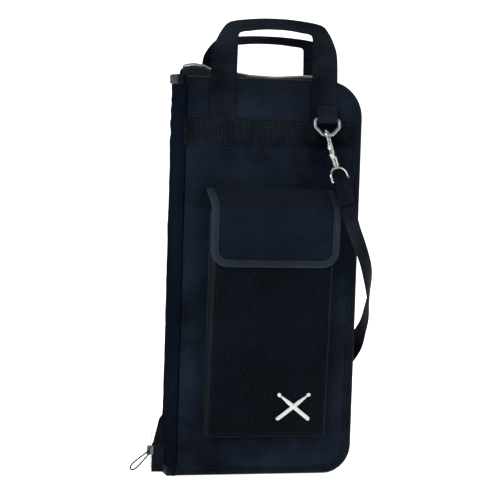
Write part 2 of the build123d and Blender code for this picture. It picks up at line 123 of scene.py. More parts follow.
def mesh_object(name, verts, faces, uvs=None, smooth=True):
    """A linked object from points and faces; uvs holds one pair per point."""
    mesh = bpy.data.meshes.new(name)
    mesh.from_pydata([tuple(v) for v in verts], [], faces)
    if uvs:
        layer = mesh.uv_layers.new(name="run")
        for loop in mesh.loops:
            layer.data[loop.index].uv = uvs[loop.vertex_index]
    if smooth:
        mesh.shade_smooth()
    mesh.validate()
    thing = bpy.data.objects.new(name, mesh)
    scene.collection.objects.link(thing)
    return thing


def add_tube(verts, faces, rings):
    """Append a tube through equal rings of points, capped at both ends."""
    base, count = len(verts), len(rings[0])
    for k, ring in enumerate(rings):
        verts.extend(ring)
        if k:
            low = base + (k - 1) * count
            for j in range(count):
                n = (j + 1) % count
                faces.append((low + j, low + n, low + count + n, low + count + j))
    faces.append(tuple(range(base + count - 1, base - 1, -1)))
    faces.append(tuple(range(len(verts) - count, len(verts))))


def tube(name, rings, uvs=None):
    """A closed solid strip or cord through its rings."""
    verts, faces = [], []
    add_tube(verts, faces, rings)
    return mesh_object(name, verts, faces, uvs)


def circle(place, first, second, count):
    """Points round place, on an ellipse with these two half axes."""
    return [place + first * math.cos(math.tau * j / count) + second * math.sin(math.tau * j / count)
            for j in range(count)]


def backdrop():
    rows = []
    for step in range(13):
        turn = math.radians(90 * step / 12)
        rows.append((3.0 + 1.2 * math.sin(turn), 1.2 - 1.2 * math.cos(turn)))
    rows = [(-6.0, 0.0)] + rows + [(4.2, 6.0)]
    verts = [(x, y, z - 0.0005) for y, z in rows for x in (-7.0, 7.0)]
    faces = [(2 * k, 2 * k + 1, 2 * k + 3, 2 * k + 2) for k in range(len(rows) - 1)]
    sheet = mesh_object("backdrop", verts, faces)
    paper = bpy.data.materials.new("backdrop_paper")
    paper.use_nodes = True
    shader = paper.node_tree.nodes["Principled BSDF"]
    shader.inputs["Base Color"].default_value = (0.93, 0.93, 0.93, 1)
    shader.inputs["Roughness"].default_value = 0.9
    shader.inputs["Emission Color"].default_value = (1, 1, 1, 1)
    shader.inputs["Emission Strength"].default_value = 0.8
    sheet.data.materials.append(paper)


backdrop()

# ---- Cloth and webbing finishes, first used by the shoulder strap ------------------------------
# Node groups for effects that several materials share: a plain weave, the ribs of woven webbing,
# slow fading with lint and handling, which also paints highlight as lighter patches and crowns, and
# plated-metal wear.


def node_group(name, inputs, outputs):
    """An empty shader group with float, colour or vector sockets."""
    kinds = {"f": "NodeSocketFloat", "c": "NodeSocketColor", "v": "NodeSocketVector"}
    group = bpy.data.node_groups.new(name, "ShaderNodeTree")
    for label, kind, value in inputs:
        socket = group.interface.new_socket(name=label, in_out="INPUT", socket_type=kinds[kind])
        if value is not None:
            socket.default_value = value
    for label, kind in outputs:
        group.interface.new_socket(name=label, in_out="OUTPUT", socket_type=kinds[kind])
    return group, group.nodes.new("NodeGroupInput"), group.nodes.new("NodeGroupOutput")


def math_node(tree, kind, first, second=None, third=None):
    """A Math node fed by sockets or numbers; returns its output."""
    node = tree.nodes.new("ShaderNodeMath")
    node.operation = kind
    for slot, value in enumerate((first, second, third)):
        if value is None:
            continue
        if isinstance(value, (int, float)):
            node.inputs[slot].default_value = value
        else:
            tree.links.new(value, node.inputs[slot])
    return node.outputs[0]


def noise_node(tree, vector, scale, detail=3.0, roughness=0.55):
    node = tree.nodes.new("ShaderNodeTexNoise")
    node.inputs["Scale"].default_value = scale
    node.inputs["Detail"].default_value = detail
    node.inputs["Roughness"].default_value = roughness
    tree.links.new(vector, node.inputs["Vector"])
    return node.outputs["Fac"]


def blend_colour(tree, share, first, second, kind="MIX"):
    node = tree.nodes.new("ShaderNodeMix")
    node.data_type = "RGBA"
    node.blend_type = kind
    for socket, value in ((node.inputs[0], share), (node.inputs[6], first), (node.inputs[7], second)):
        if isinstance(value, (int, float, tuple)):
            socket.default_value = value
        else:
            tree.links.new(value, socket)
    return node.outputs[2]


def make_weave_group():
    """Plain weave from two thread directions: height, and a mask that is 1 on a thread's crown."""
    group, given, out = node_group(
        "plain_weave",
        [("Vector", "v", None), ("Thread pitch", "f", 0.0006)],
        [("Height", "f"), ("Crown", "f")],
    )
    split = group.nodes.new("ShaderNodeSeparateXYZ")
    group.links.new(given.outputs["Vector"], split.inputs[0])
    across = math_node(group, "ADD", split.outputs["X"], split.outputs["Y"])
    rate = math_node(group, "DIVIDE", math.pi, given.outputs["Thread pitch"])
    warp = math_node(group, "SINE", math_node(group, "MULTIPLY", across, rate))
    weft = math_node(group, "SINE", math_node(group, "MULTIPLY", split.outputs["Z"], rate))
    product = math_node(group, "MULTIPLY", warp, weft)
    height = math_node(group, "MULTIPLY_ADD", product, 0.5, 0.5)
    group.links.new(height, out.inputs["Height"])
    crown = math_node(group, "POWER", height, 2.0)
    group.links.new(crown, out.inputs["Crown"])
    return group


def make_rib_group():
    """Woven webbing from its run: cross ribs, with fine yarns that lean left and right."""
    group, given, out = node_group(
        "webbing_ribs",
        [("Run", "v", None), ("Rib pitch", "f", 0.0018), ("Yarn pitch", "f", 0.0016)],
        [("Height", "f"), ("Crown", "f")],
    )
    split = group.nodes.new("ShaderNodeSeparateXYZ")
    group.links.new(given.outputs["Run"], split.inputs[0])
    yarn_rate = math_node(group, "DIVIDE", 2 * math.pi, given.outputs["Yarn pitch"])
    rib_rate = math_node(group, "DIVIDE", 2 * math.pi, given.outputs["Rib pitch"])
    yarn = math_node(group, "SINE", math_node(group, "MULTIPLY", split.outputs["X"], yarn_rate))
    lean = math_node(group, "MULTIPLY", yarn, 1.3)
    run = math_node(group, "MULTIPLY_ADD", split.outputs["Y"], rib_rate, lean)
    rib = math_node(group, "MULTIPLY_ADD", math_node(group, "SINE", run), 0.5, 0.5)
    fine = math_node(group, "MULTIPLY_ADD", math_node(group, "ABSOLUTE", yarn), 0.35, rib)
    group.links.new(fine, out.inputs["Height"])
    group.links.new(math_node(group, "POWER", rib, 3.0), out.inputs["Crown"])
    return group


def make_fading_and_highlight_group():
    """Slow fading and lint, with painted highlight: lifts a colour towards a lighter one in slow cloudy
    patches, most on thread and rib crowns; the lighter patches and crowns are painted highlight as well as
    rubbed, faded cloth.
    """
    group, given, out = node_group(
        "fading_highlight_and_lint",
        [("Vector", "v", None), ("Color", "c", None), ("Worn color", "c", None), ("Crown", "f", 0.5),
         ("Fading", "f", 0.35), ("Lint", "f", 0.25)],
        [("Color", "c"), ("Rub and highlight", "f")],
    )
    # painted highlight and fading: slow cloudy patches where the colour goes lighter
    slow = noise_node(group, given.outputs["Vector"], 11.0, 4.0, 0.6)
    contrast = math_node(group, "MULTIPLY_ADD", slow, 3.2, -1.05)
    patch = math_node(group, "MAXIMUM", math_node(group, "MINIMUM", contrast, 1.0), 0.0)
    rub_and_highlight = math_node(group, "MULTIPLY", patch, given.outputs["Fading"])
    everywhere = math_node(group, "MULTIPLY", rub_and_highlight, 0.2)
    # the lighter colour lands most on thread and rib crowns: painted highlight on the crowns as well as rub
    wear_and_highlight_share = math_node(group, "MULTIPLY_ADD", given.outputs["Crown"], rub_and_highlight, everywhere)
    faded_and_lit = blend_colour(group, wear_and_highlight_share, given.outputs["Color"], given.outputs["Worn color"])
    specks = noise_node(group, given.outputs["Vector"], 900.0, 1.0, 0.4)
    lint = math_node(group, "GREATER_THAN", specks, 0.735)
    lint = math_node(group, "MULTIPLY", lint, given.outputs["Lint"])
    final = blend_colour(group, lint, faded_and_lit, (0.13, 0.14, 0.15, 1))
    group.links.new(final, out.inputs["Color"])
    group.links.new(rub_and_highlight, out.inputs["Rub and highlight"])
    return group


def make_plating_group():
    """Plated metal: fine scratches and cloudy patches that change roughness and tint."""
    group, given, out = node_group(
        "plating_wear",
        [("Vector", "v", None), ("Roughness", "f", 0.2), ("Color", "c", None), ("Dull color", "c", None)],
        [("Roughness", "f"), ("Color", "c"), ("Height", "f")],
    )
    cloud = noise_node(group, given.outputs["Vector"], 120.0, 4.0, 0.6)
    stretch = group.nodes.new("ShaderNodeMapping")
    stretch.inputs["Scale"].default_value = (900, 900, 90)
    group.links.new(given.outputs["Vector"], stretch.inputs["Vector"])
    scratch = noise_node(group, stretch.outputs[0], 1.0, 2.0, 0.7)
    spread = math_node(group, "MULTIPLY_ADD", cloud, 0.22, given.outputs["Roughness"])
    rough = math_node(group, "MULTIPLY_ADD", scratch, 0.10, math_node(group, "SUBTRACT", spread, 0.12))
    group.links.new(rough, out.inputs["Roughness"])
    tint = blend_colour(group, cloud, given.outputs["Color"], given.outputs["Dull color"])
    group.links.new(tint, out.inputs["Color"])
    group.links.new(scratch, out.inputs["Height"])
    return group


PLAIN_WEAVE = make_weave_group()
WEBBING_RIBS = make_rib_group()
FADING_AND_HIGHLIGHT = make_fading_and_highlight_group()
PLATING = make_plating_group()


def place_group(tree, group, **values):
    """Put a group in a material; sockets are linked and plain values are set."""
    node = tree.nodes.new("ShaderNodeGroup")
    node.node_tree = group
    for label, value in values.items():
        socket = node.inputs[label.replace("_", " ")]
        if isinstance(value, bpy.types.NodeSocket):
            tree.links.new(value, socket)
        else:
            socket.default_value = value
    return node


def bump_from(tree, height, strength, distance):
    node = tree.nodes.new("ShaderNodeBump")
    node.inputs["Strength"].default_value = strength
    node.inputs["Distance"].default_value = distance
    tree.links.new(height, node.inputs["Height"])
    return node.outputs["Normal"]


def cloth_finish(name, colour, worn_and_lit, pitch, roughness=0.62, relief=0.00012, sheen=0.03, ribs=False,
                 fading_and_highlight=0.5, lint=0.2, specular=0.02):
    """Woven cloth or, with ribs, webbing that follows the piece's own run."""
    material = bpy.data.materials.new(name)
    material.use_nodes = True
    tree = material.node_tree
    shader = tree.nodes["Principled BSDF"]
    coords = tree.nodes.new("ShaderNodeTexCoord")
    place = coords.outputs["Object"]
    if ribs:
        weave = place_group(tree, WEBBING_RIBS, Run=coords.outputs["UV"], Rib_pitch=pitch,
                            Yarn_pitch=pitch * 0.9)
    else:
        weave = place_group(tree, PLAIN_WEAVE, Vector=place, Thread_pitch=pitch)
    # the worn colour is also painted highlight: it comes in through the slow patches and the thread crowns
    tone = place_group(tree, FADING_AND_HIGHLIGHT, Vector=place, Color=(*colour, 1), Worn_color=(*worn_and_lit, 1),
                       Crown=weave.outputs["Crown"], Fading=fading_and_highlight, Lint=lint)
    tree.links.new(tone.outputs["Color"], shader.inputs["Base Color"])
    rough = math_node(tree, "MULTIPLY_ADD", tone.outputs["Rub and highlight"], -0.18, roughness)
    tree.links.new(rough, shader.inputs["Roughness"])
    tree.links.new(bump_from(tree, weave.outputs["Height"], 0.7, relief), shader.inputs["Normal"])
    shader.inputs["Sheen Weight"].default_value = sheen
    shader.inputs["Sheen Roughness"].default_value = 0.45
    shader.inputs["Specular IOR Level"].default_value = specular
    return material


WEBBING = cloth_finish("black_webbing", (0.0016, 0.0024, 0.0042), (0.026, 0.034, 0.048), 0.0019,
                       roughness=0.6, relief=0.0005, ribs=True, fading_and_highlight=0.9, specular=0.01, sheen=0.0)
STITCH_THREAD = cloth_finish("dark_thread", (0.0075, 0.0095, 0.0140), (0.028, 0.034, 0.044), 0.0005,
                             roughness=0.5, lint=0.0)

# ---- Shoulder strap ----------------------------------------------------------------------------
# 25 mm black webbing from the front clip, round the zip edge and in a slack loop behind to the
# rear clip.  It is limp, so it lies edge-on where it turns the corner and hangs below the back.
STRAP_WIDTH = 0.025
STRAP_THICK = 0.0019
STRAP_ROUTE = [
    (0.0900, -0.0472, 0.3314), (0.0965, -0.0515, 0.305), (0.108, -0.051, 0.280), (0.118, -0.045, 0.256),
    (0.125, -0.033, 0.232), (0.129, -0.017, 0.208), (0.130, 0.000, 0.183), (0.126, 0.017, 0.159),
    (0.116, 0.032, 0.137), (0.102, 0.044, 0.117), (0.084, 0.052, 0.099), (0.062, 0.057, 0.085),
    (0.038, 0.060, 0.076), (0.012, 0.061, 0.073), (-0.013, 0.061, 0.079), (-0.035, 0.061, 0.093),
    (-0.052, 0.061, 0.114), (-0.064, 0.061, 0.140), (-0.072, 0.0605, 0.170), (-0.077, 0.060, 0.202),
    (-0.0805, 0.0595, 0.236), (-0.0825, 0.059, 0.270), (-0.084, 0.058, 0.301), (-0.0868, 0.0565, 0.3317),
]


def smooth_run(points, name):
    """Points along the NURBS spline that has the route's points as its control points."""
    data = bpy.data.curves.new(name, "CURVE")
    data.dimensions = "3D"
    data.resolution_u = 8
    spline = data.splines.new("NURBS")
    spline.points.add(len(points) - 1)
    for point, place in zip(spline.points, points):
        point.co = (*place, 1)
    spline.order_u = 3
    spline.use_endpoint_u = True
    holder = bpy.data.objects.new(name, data)
    run = bpy.data.meshes.new_from_object(holder)
    out = [v.co.copy() for v in run.vertices]
    bpy.data.objects.remove(holder)
    bpy.data.curves.remove(data)
    return out


def run_lengths(points):
    total = [0.0]
    for first, second in zip(points, points[1:]):
        total.append(total[-1] + (second - first).length)
    return total


# which way the strap's outer face looks at a share of its length, in degrees from +X
STRAP_FACING = [(0, -56), (0.12, -42), (0.25, 0), (0.33, 40), (0.42, 78), (0.6, 90), (0.9, 98), (1, 122)]


def eased(share):
    """A share from 0 to 1 that starts and ends gently."""
    return share * share * (3 - 2 * share)


def strap_facing(share):
    for (s0, a0), (s1, a1) in zip(STRAP_FACING, STRAP_FACING[1:]):
        if share <= s1:
            angle = math.radians(a0 + (a1 - a0) * eased((share - s0) / (s1 - s0)))
            return Vector((math.cos(angle), math.sin(angle), 0))
    return Vector((0, 1, 0))


# half of the webbing's section: share of the half width, share of the half thickness
WEBBING_SECTION = [(-1.0, 0.0), (-0.97, 0.75), (-0.88, 1.0), (-0.6, 0.9), (-0.3, 1.0), (0.0, 0.92),
                   (0.3, 1.0), (0.6, 0.9), (0.88, 1.0), (0.97, 0.75), (1.0, 0.0)]


def ribbon(name, points, facing, width, thick, curl=0.0):
    """Flat webbing along points: closed section, run coordinates for the ribs, capped ends."""
    lengths = run_lengths(points)
    section = WEBBING_SECTION + [(a, -b) for a, b in WEBBING_SECTION[-2:0:-1]]
    rings, uvs = [], []
    for k, place in enumerate(points):
        along = (points[min(k + 1, len(points) - 1)] - points[max(k - 1, 0)]).normalized()
        across = facing(lengths[k] / lengths[-1]).cross(along).normalized()
        out = along.cross(across).normalized()
        rings.append([place + across * (a * width / 2) + out * (b * thick / 2 + curl * (1 - a * a))
                      for a, b in section])
        uvs += [(a * width / 2, lengths[k]) for a, _ in section]
    return tube(name, rings, uvs)


strap_points = smooth_run(STRAP_ROUTE, "strap_route")
strap = ribbon("shoulder_strap_webbing", strap_points, strap_facing, STRAP_WIDTH, STRAP_THICK, curl=0.0006)
strap.data.materials.append(WEBBING)
strap_length = run_lengths(strap_points)[-1]
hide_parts("shoulder_strap")
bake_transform(strap)

# ---- The two padded halves ---------------------------------------------------------------------
# Woven nylon over 5 mm foam with a cloth lining, sewn into the edge tape all round, so each half
# is tight at its edge and slightly crowned between.  The cover and the rear half are alike.
panel_low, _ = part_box("front_panel")
spine_low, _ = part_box("front_spine_gusset")
_, binding_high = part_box("front_edge_binding")

BODY_HEIGHT = binding_high.z
HALF_WIDTH = binding_high.x
SPINE_FACE_Y = spine_low.y
ZIP_FACE_Y = SPINE_FACE_Y + 0.012
FACE_LEAN = math.atan((ZIP_FACE_Y - SPINE_FACE_Y) / (2 * HALF_WIDTH))
FACE_MIDDLE_Y = (SPINE_FACE_Y + ZIP_FACE_Y) / 2
TOP_CORNER = 0.045
BOTTOM_CORNER = 0.035
PANEL_LEFT = panel_low.x
PANEL_DEPTH = 0.007
SEWN_MARGIN = 0.012


def on_cover(u, v, w):
    """From the front face's own frame (along, up, outwards) to the shared frame."""
    return Vector((
        u * math.cos(FACE_LEAN) + w * math.sin(FACE_LEAN),
        FACE_MIDDLE_Y + u * math.sin(FACE_LEAN) - w * math.cos(FACE_LEAN),
        v,
    ))


def on_rear(u, v, w):
    """The rear half is the cover's mirror image."""
    place = on_cover(u, v, w)
    return Vector((place.x, -place.y, place.z))


SIDES = {"front": (on_cover, "front_cover"), "back": (on_rear, "back_half")}


def out_of(to_frame):
    """The way a face looks, in the shared frame."""
    return (to_frame(0, 0.1, 1) - to_frame(0, 0.1, 0)).normalized()


def outline_run(inset, step=0.006, left=PANEL_LEFT):
    """(u, v, inward u, inward v) along the top, zip side and bottom, at an inset from the edge."""
    right = HALF_WIDTH - inset
    top = BODY_HEIGHT - inset
    upper = TOP_CORNER - inset
    lower = BOTTOM_CORNER - inset
    out = []

    def straight(u0, v0, u1, v1, nu, nv):
        count = max(2, round(math.hypot(u1 - u0, v1 - v0) / step))
        for k in range(count):
            out.append((u0 + (u1 - u0) * k / count, v0 + (v1 - v0) * k / count, nu, nv))

    def corner(cu, cv, radius, turn_from):
        count = 12
        for k in range(count):
            turn = math.radians(turn_from - 90 * k / count)
            nu, nv = -math.cos(turn), -math.sin(turn)
            out.append((cu - radius * nu, cv - radius * nv, nu, nv))

    straight(left, top, HALF_WIDTH - TOP_CORNER, top, 0, -1)
    corner(HALF_WIDTH - TOP_CORNER, BODY_HEIGHT - TOP_CORNER, upper, 90)
    straight(right, BODY_HEIGHT - TOP_CORNER, right, BOTTOM_CORNER, -1, 0)
    corner(HALF_WIDTH - BOTTOM_CORNER, BOTTOM_CORNER, lower, 0)
    straight(HALF_WIDTH - BOTTOM_CORNER, inset, left, inset, 0, 1)
    out.append((left, inset, 0, 1))
    return out


def billow(thing, held, pressure, most, frames=20, stiffness=15, slack=0.0):
    """Fill a cloth piece with air: held points stay, and no point moves further than most."""
    start = [v.co.copy() for v in thing.data.vertices]
    group = thing.vertex_groups.new(name="held")
    group.add(held, 1.0, "REPLACE")
    cloth = thing.modifiers.new("cloth", "CLOTH")
    cloth.settings.vertex_group_mass = "held"
    cloth.settings.use_pressure = True
    cloth.settings.uniform_pressure_force = pressure
    cloth.settings.effector_weights.gravity = 0
    cloth.settings.tension_stiffness = stiffness
    cloth.settings.compression_stiffness = stiffness
    cloth.settings.bending_stiffness = 0.6
    cloth.settings.shrink_min = -slack
    cloth.point_cache.frame_start = 1
    cloth.point_cache.frame_end = frames
    for frame_number in range(1, frames + 1):
        scene.frame_set(frame_number)
    graph = bpy.context.evaluated_depsgraph_get()
    settled = thing.evaluated_get(graph).to_mesh()
    moved = [v.co.copy() for v in settled.vertices]
    thing.evaluated_get(graph).to_mesh_clear()
    thing.modifiers.remove(cloth)
    thing.vertex_groups.clear()
    for vertex, old, new in zip(thing.data.vertices, start, moved):
        shift = new - old
        if shift.length > most:
            shift *= most / shift.length
        vertex.co = old + shift
    scene.frame_set(1)


def apply_modifiers(thing):
    """Bake the modifier stack into the mesh."""
    graph = bpy.context.evaluated_depsgraph_get()
    final = bpy.data.meshes.new_from_object(thing.evaluated_get(graph))
    thing.modifiers.clear()
    thing.data = final
    final.shade_smooth()


def remesh(thing, voxel):
    modifier = thing.modifiers.new("remesh", "REMESH")
    modifier.mode = "VOXEL"
    modifier.voxel_size = voxel
    apply_modifiers(thing)


def subdivide(thing, levels=1):
    modifier = thing.modifiers.new("subdivision", "SUBSURF")
    modifier.levels = levels
    modifier.render_levels = levels
    apply_modifiers(thing)


# The shell nylon's much lighter worn colour, laid on in slow cloudy patches, is painted highlight on the
# panels as well as fading.
SHELL_CLOTH = cloth_finish("navy_nylon", (0.0012, 0.0023, 0.0052), (0.0165, 0.0280, 0.0480), 0.00062,
                           roughness=0.55, relief=0.00018, sheen=0.02, fading_and_highlight=0.7)
LINING_CLOTH = cloth_finish("grey_lining", (0.03, 0.033, 0.04), (0.06, 0.065, 0.075), 0.0004,
                            roughness=0.75, relief=0.00006, sheen=0.05, fading_and_highlight=0.4)


def crease(place, along, size, reach):
    """Soft directional noise for creases: long along one way, short across it."""
    sample = Vector((place.x * along[0], place.y * along[1], place.z * along[2])) * size
    return noise.fractal(sample, 0.6, 2.0, 3) * reach


# where things are sewn down on the outside: left, right, foot and top of each seam's box
BAND_SEWN = (-0.120, 0.1045, 0.3965, 0.4306)
LEGS_SEWN = [(0.0450, 0.0810, 0.4306, 0.480), (-0.0810, -0.0450, 0.4306, 0.480)]
POCKET_SEWN = (-0.075, 0.075, 0.047, 0.348)


def sewn_reach(u, v, side):
    """Distance to the nearest thing sewn on the outside, which pulls the padding flat."""
    nearest = 1.0
    for left, right, foot, top in [BAND_SEWN] + LEGS_SEWN + ([POCKET_SEWN] if side == "front" else []):
        du, dv = max(left - u, u - right, 0.0), max(foot - v, v - top, 0.0)
        nearest = min(nearest, math.hypot(du, dv))
    return nearest


def padded_half(side):
    to_frame, body = SIDES[side]
    edge = [(u, v) for u, v, _, _ in outline_run(0.004, step=0.012)]
    slab = bmesh.new()
    outer = [slab.verts.new((u, v, 0.0004)) for u, v in edge]
    face = slab.faces.new(outer)
    lifted = bmesh.ops.extrude_face_region(slab, geom=[face])
    for item in lifted["geom"]:
        if isinstance(item, bmesh.types.BMVert):
            item.co.z = -PANEL_DEPTH
    bmesh.ops.recalc_face_normals(slab, faces=slab.faces)
    mesh = bpy.data.meshes.new(f"{side}_pad")
    slab.to_mesh(mesh)
    slab.free()
    pad = bpy.data.objects.new(f"{side}_padded_shell", mesh)
    scene.collection.objects.link(pad)
    remesh(pad, 0.0055)
    held = [vertex.index for vertex in pad.data.vertices
            if min(vertex.co.x - PANEL_LEFT, HALF_WIDTH - vertex.co.x, vertex.co.y,
                   BODY_HEIGHT - vertex.co.y) < SEWN_MARGIN]
    billow(pad, held, 4.0, 0.0042, slack=0.012)
    for vertex in pad.data.vertices:
        u, v, w = vertex.co
        vertex.co.z = max(w, -PANEL_DEPTH - 0.0006)
        if w > -0.003:
            free = eased(min(1.0, sewn_reach(u, v, side) / 0.030))
            near_spine = max(0.0, 1 - (u - PANEL_LEFT) / 0.09)
            tug = crease(Vector((u, v, 0)), (0.5, 1.6, 1), 26, 0.0010 + 0.0014 * near_spine)
            vertex.co.z = 0.0002 + (max(vertex.co.z, 0.0) - 0.0002) * (0.06 + 0.94 * free) + tug * free
    subdivide(pad)
    pad.data.materials.append(SHELL_CLOTH)
    pad.data.materials.append(LINING_CLOTH)
    for polygon in pad.data.polygons:
        polygon.material_index = 1 if polygon.center.z < -PANEL_DEPTH * 0.6 else 0
    for vertex in pad.data.vertices:
        vertex.co = to_frame(*vertex.co)
    if side == "back":
        pad.data.flip_normals()
    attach(pad, body)
    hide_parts(f"{side}_panel", f"{side}_foam", f"{side}_lining")


for side in SIDES:
    padded_half(side)

# ---- Edge binding ------------------------------------------------------------------------------
# A woven tape folded over the edge of each half and sewn through with one row of thread.  It goes
# round the top, the zip side and the bottom, and stands a little proud of the panel.
BINDING_TAPE = cloth_finish("binding_tape", (0.0020, 0.0033, 0.0060), (0.015, 0.022, 0.034), 0.00085,
                            roughness=0.5, relief=0.0003, ribs=True, sheen=0.03, fading_and_highlight=0.6)
# the folded tape's section: inset from the edge, height above the outer face
BINDING_SECTION = [
    (0.0122, 0.0004), (0.0120, 0.0013), (0.0096, 0.0012), (0.0088, 0.0009), (0.0078, 0.0014),
    (0.0045, 0.0019), (0.0018, 0.0014), (0.0003, -0.0012), (0.0000, -0.0036), (0.0004, -0.0062),
    (0.0020, -0.0081), (0.0048, -0.0086), (0.0120, -0.0083), (0.0122, -0.0072),
]


def face_outwards(thing):
    """Make every face of a closed mesh point outwards."""
    work = bmesh.new()
    work.from_mesh(thing.data)
    bmesh.ops.recalc_face_normals(work, faces=work.faces)
    work.to_mesh(thing.data)
    work.free()


def dress(thing, finish, slot, body, *nodes):
    """A piece's finish, the body it rides on and the CAD nodes it stands for."""
    face_outwards(thing)
    thing.data.materials.clear()
    thing.data.materials.append(finish)
    if body:
        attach(thing, body)
    if nodes:
        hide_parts(*nodes)
    return thing


def spots_along(points, first, pitch, reach):
    """(segment, place, run direction) one pitch apart, for as long as reach fits before the end."""
    lengths = run_lengths(points)
    position, index = first, 0
    while position + reach < lengths[-1]:
        while lengths[index + 1] < position:
            index += 1
        share = (position - lengths[index]) / (lengths[index + 1] - lengths[index])
        yield (index, points[index].lerp(points[index + 1], share),
               (points[index + 1] - points[index]).normalized())
        position += pitch


def seam_line(to_frame, first, last, height, steps):
    """A straight seam from first to last (along, up), at a height off the face."""
    (u0, v0), (u1, v1) = first, last
    return [to_frame(u0 + (u1 - u0) * k / steps, v0 + (v1 - v0) * k / steps, height)
            for k in range(steps + 1)]


STITCH_SECTION = [(-1, 0), (-0.7, 0.8), (0, 1.1), (0.7, 0.8), (1, 0)]
STITCH_SWELL = [(-0.5, 0.35), (-0.3, 1.0), (0.3, 1.0), (0.5, 0.35)]


def stitch_row(name, points, outward, body, slot="edge_binding", length=0.0026, gap=0.0013):
    """Separate thread stitches laid end to end along points, each a low rounded bead."""
    width, height = 0.0006, 0.00035
    ways = [outward] * len(points) if isinstance(outward, Vector) else outward
    verts, faces = [], []
    for index, place, along in spots_along(points, gap + length / 2, length + gap, length / 2):
        out = ways[index].normalized()
        across = along.cross(out).normalized()
        add_tube(verts, faces, [
            [place + along * (offset * length) + across * (a * width / 2 * swell)
             + out * ((b * swell - 0.25) * height) for a, b in STITCH_SECTION]
            for offset, swell in STITCH_SWELL])
    return dress(mesh_object(name, verts, faces), STITCH_THREAD, slot, body)


def edge_binding(side):
    to_frame, body = SIDES[side]
    runs = {inset: outline_run(inset) for inset, _ in BINDING_SECTION}
    edge = runs[0.0]
    rings, uvs, run = [], [], 0.0
    for k, (u0, v0, _, _) in enumerate(edge):
        if k:
            run += math.hypot(u0 - edge[k - 1][0], v0 - edge[k - 1][1])
        ring = []
        for inset, height in BINDING_SECTION:
            u, v, _, _ = runs[inset][k]
            ripple = 1 + 0.25 * noise.noise(Vector((u * 60, v * 60, inset * 200))) if height > 0 else 1
            ring.append(to_frame(u, max(v, 0.0002), height * ripple))
            uvs.append((inset, run))
        rings.append(ring)
    dress(tube(f"{side}_binding_tape", rings, uvs), BINDING_TAPE, "edge_binding", body,
          f"{side}_edge_binding")
    line = [to_frame(u, v, 0.0012) for u, v, _, _ in outline_run(0.0090)]
    stitch_row(f"{side}_binding_stitches", line, out_of(to_frame), body)


for side in SIDES:
    edge_binding(side)

# ---- Spine -------------------------------------------------------------------------------------
# One wide strip of the same nylon joins the halves and does the hinge's work.  It is lightly padded
# and sewn into both edges, so it puffs between the seams and wrinkles across, most near the top.
SPINE_X = spine_low.x
SPINE_SEAM_X = PANEL_LEFT - 0.0004


def spine_strip():
    across_steps, up_steps = 26, 150
    rings, uvs = [], []
    for k in range(up_steps + 1):
        v = BODY_HEIGHT * k / up_steps
        tuck = min(1.0, v / 0.012, (BODY_HEIGHT - v) / 0.012) ** 0.5
        high = math.exp(-((v - 0.425) / 0.035) ** 2)
        ring = []
        for j in range(across_steps + 1):
            t = -1 + 2 * j / across_steps
            y = t * (abs(SPINE_FACE_Y) + 0.0004)
            puff = ((1 - abs(t) ** 2.6) * (0.0045 + 0.0016 * tuck) + 0.0008) * min(1.0, 0.35 + v / 0.09)
            seat = SPINE_SEAM_X + (SPINE_X - SPINE_SEAM_X) * min(1.0, (1 - abs(t)) * 8) ** 0.5
            fold = crease(Vector((0, y, v + y * 0.7)), (1, 4, 7), 3.4, 0.0008 + 0.0019 * high)
            slack = crease(Vector((3, y, v)), (1, 12, 1.6), 3.0, 0.0007)
            soft = min(1.0, (1 - abs(t)) * 4)
            ring.append((seat - puff * 0.55 + (fold + slack) * soft * tuck, y, v))
        ring += [(SPINE_SEAM_X + 0.0006, y, v) for _, y, _ in reversed(ring)]
        rings.append(ring)
        uvs += [(y, v) for _, y, _ in ring]
    return tube("spine_strip", rings, uvs)


SPINE_CLOTH = cloth_finish("spine_nylon", (0.0016, 0.0030, 0.0060), (0.0065, 0.0115, 0.021), 0.00062,
                           roughness=0.6, relief=0.00014, sheen=0.0, fading_and_highlight=0.6, specular=0.0)
spine = dress(spine_strip(), SPINE_CLOTH, "shell_nylon", None, "front_spine_gusset", "back_spine_gusset")
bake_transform(spine)


SPINE_TAPE_SECTION = [(-0.0050, 0.010), (-0.0064, 0.009), (-0.0066, 0.0), (-0.0052, -0.0014), (0.0, -0.0016),
                      (0.0040, -0.0012), (0.0048, 0.0), (0.0048, 0.010)]


def spine_end_tape(name, level, way):
    """The tape that binds the strip's cut end, folded over it; way is up at the foot, down at the top."""
    rings, uvs = [], []
    for k in range(25):
        t = -1 + 2 * k / 24
        y = t * (abs(SPINE_FACE_Y) - 0.0004)
        bulge = (1 - abs(t) ** 3) * (0.0022 if way < 0 else 0.0004)
        rings.append([(SPINE_X + 0.0030 + x - (bulge if x < 0 else 0), y,
                       level + way * (max(z, 0.0002) if way > 0 else z)) for x, z in SPINE_TAPE_SECTION])
        uvs += [(x + z, y) for x, z in SPINE_TAPE_SECTION]
    tape = dress(tube(name, rings, uvs), BINDING_TAPE, "edge_binding", None)
    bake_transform(tape)


spine_end_tape("spine_top_tape", BODY_HEIGHT, -1)
spine_end_tape("spine_bottom_tape", 0.0, 1)


def piping(side):
    """The corded seam where the strip meets a half."""
    to_frame, body = SIDES[side]
    rings = []
    for k in range(161):
        lift = 0.0006 + 0.0004 * noise.noise(Vector((0, 0, k * 0.35)))
        place = to_frame(PANEL_LEFT - 0.0002, 0.004 + (BODY_HEIGHT - 0.008) * k / 160, lift)
        rings.append(circle(place, Vector((0.0015, 0, 0)), Vector((0, 0.0013, 0)), 8))
    dress(tube(f"{side}_spine_piping", rings), SPINE_CLOTH, "shell_nylon", body)


for side in SIDES:
    piping(side)

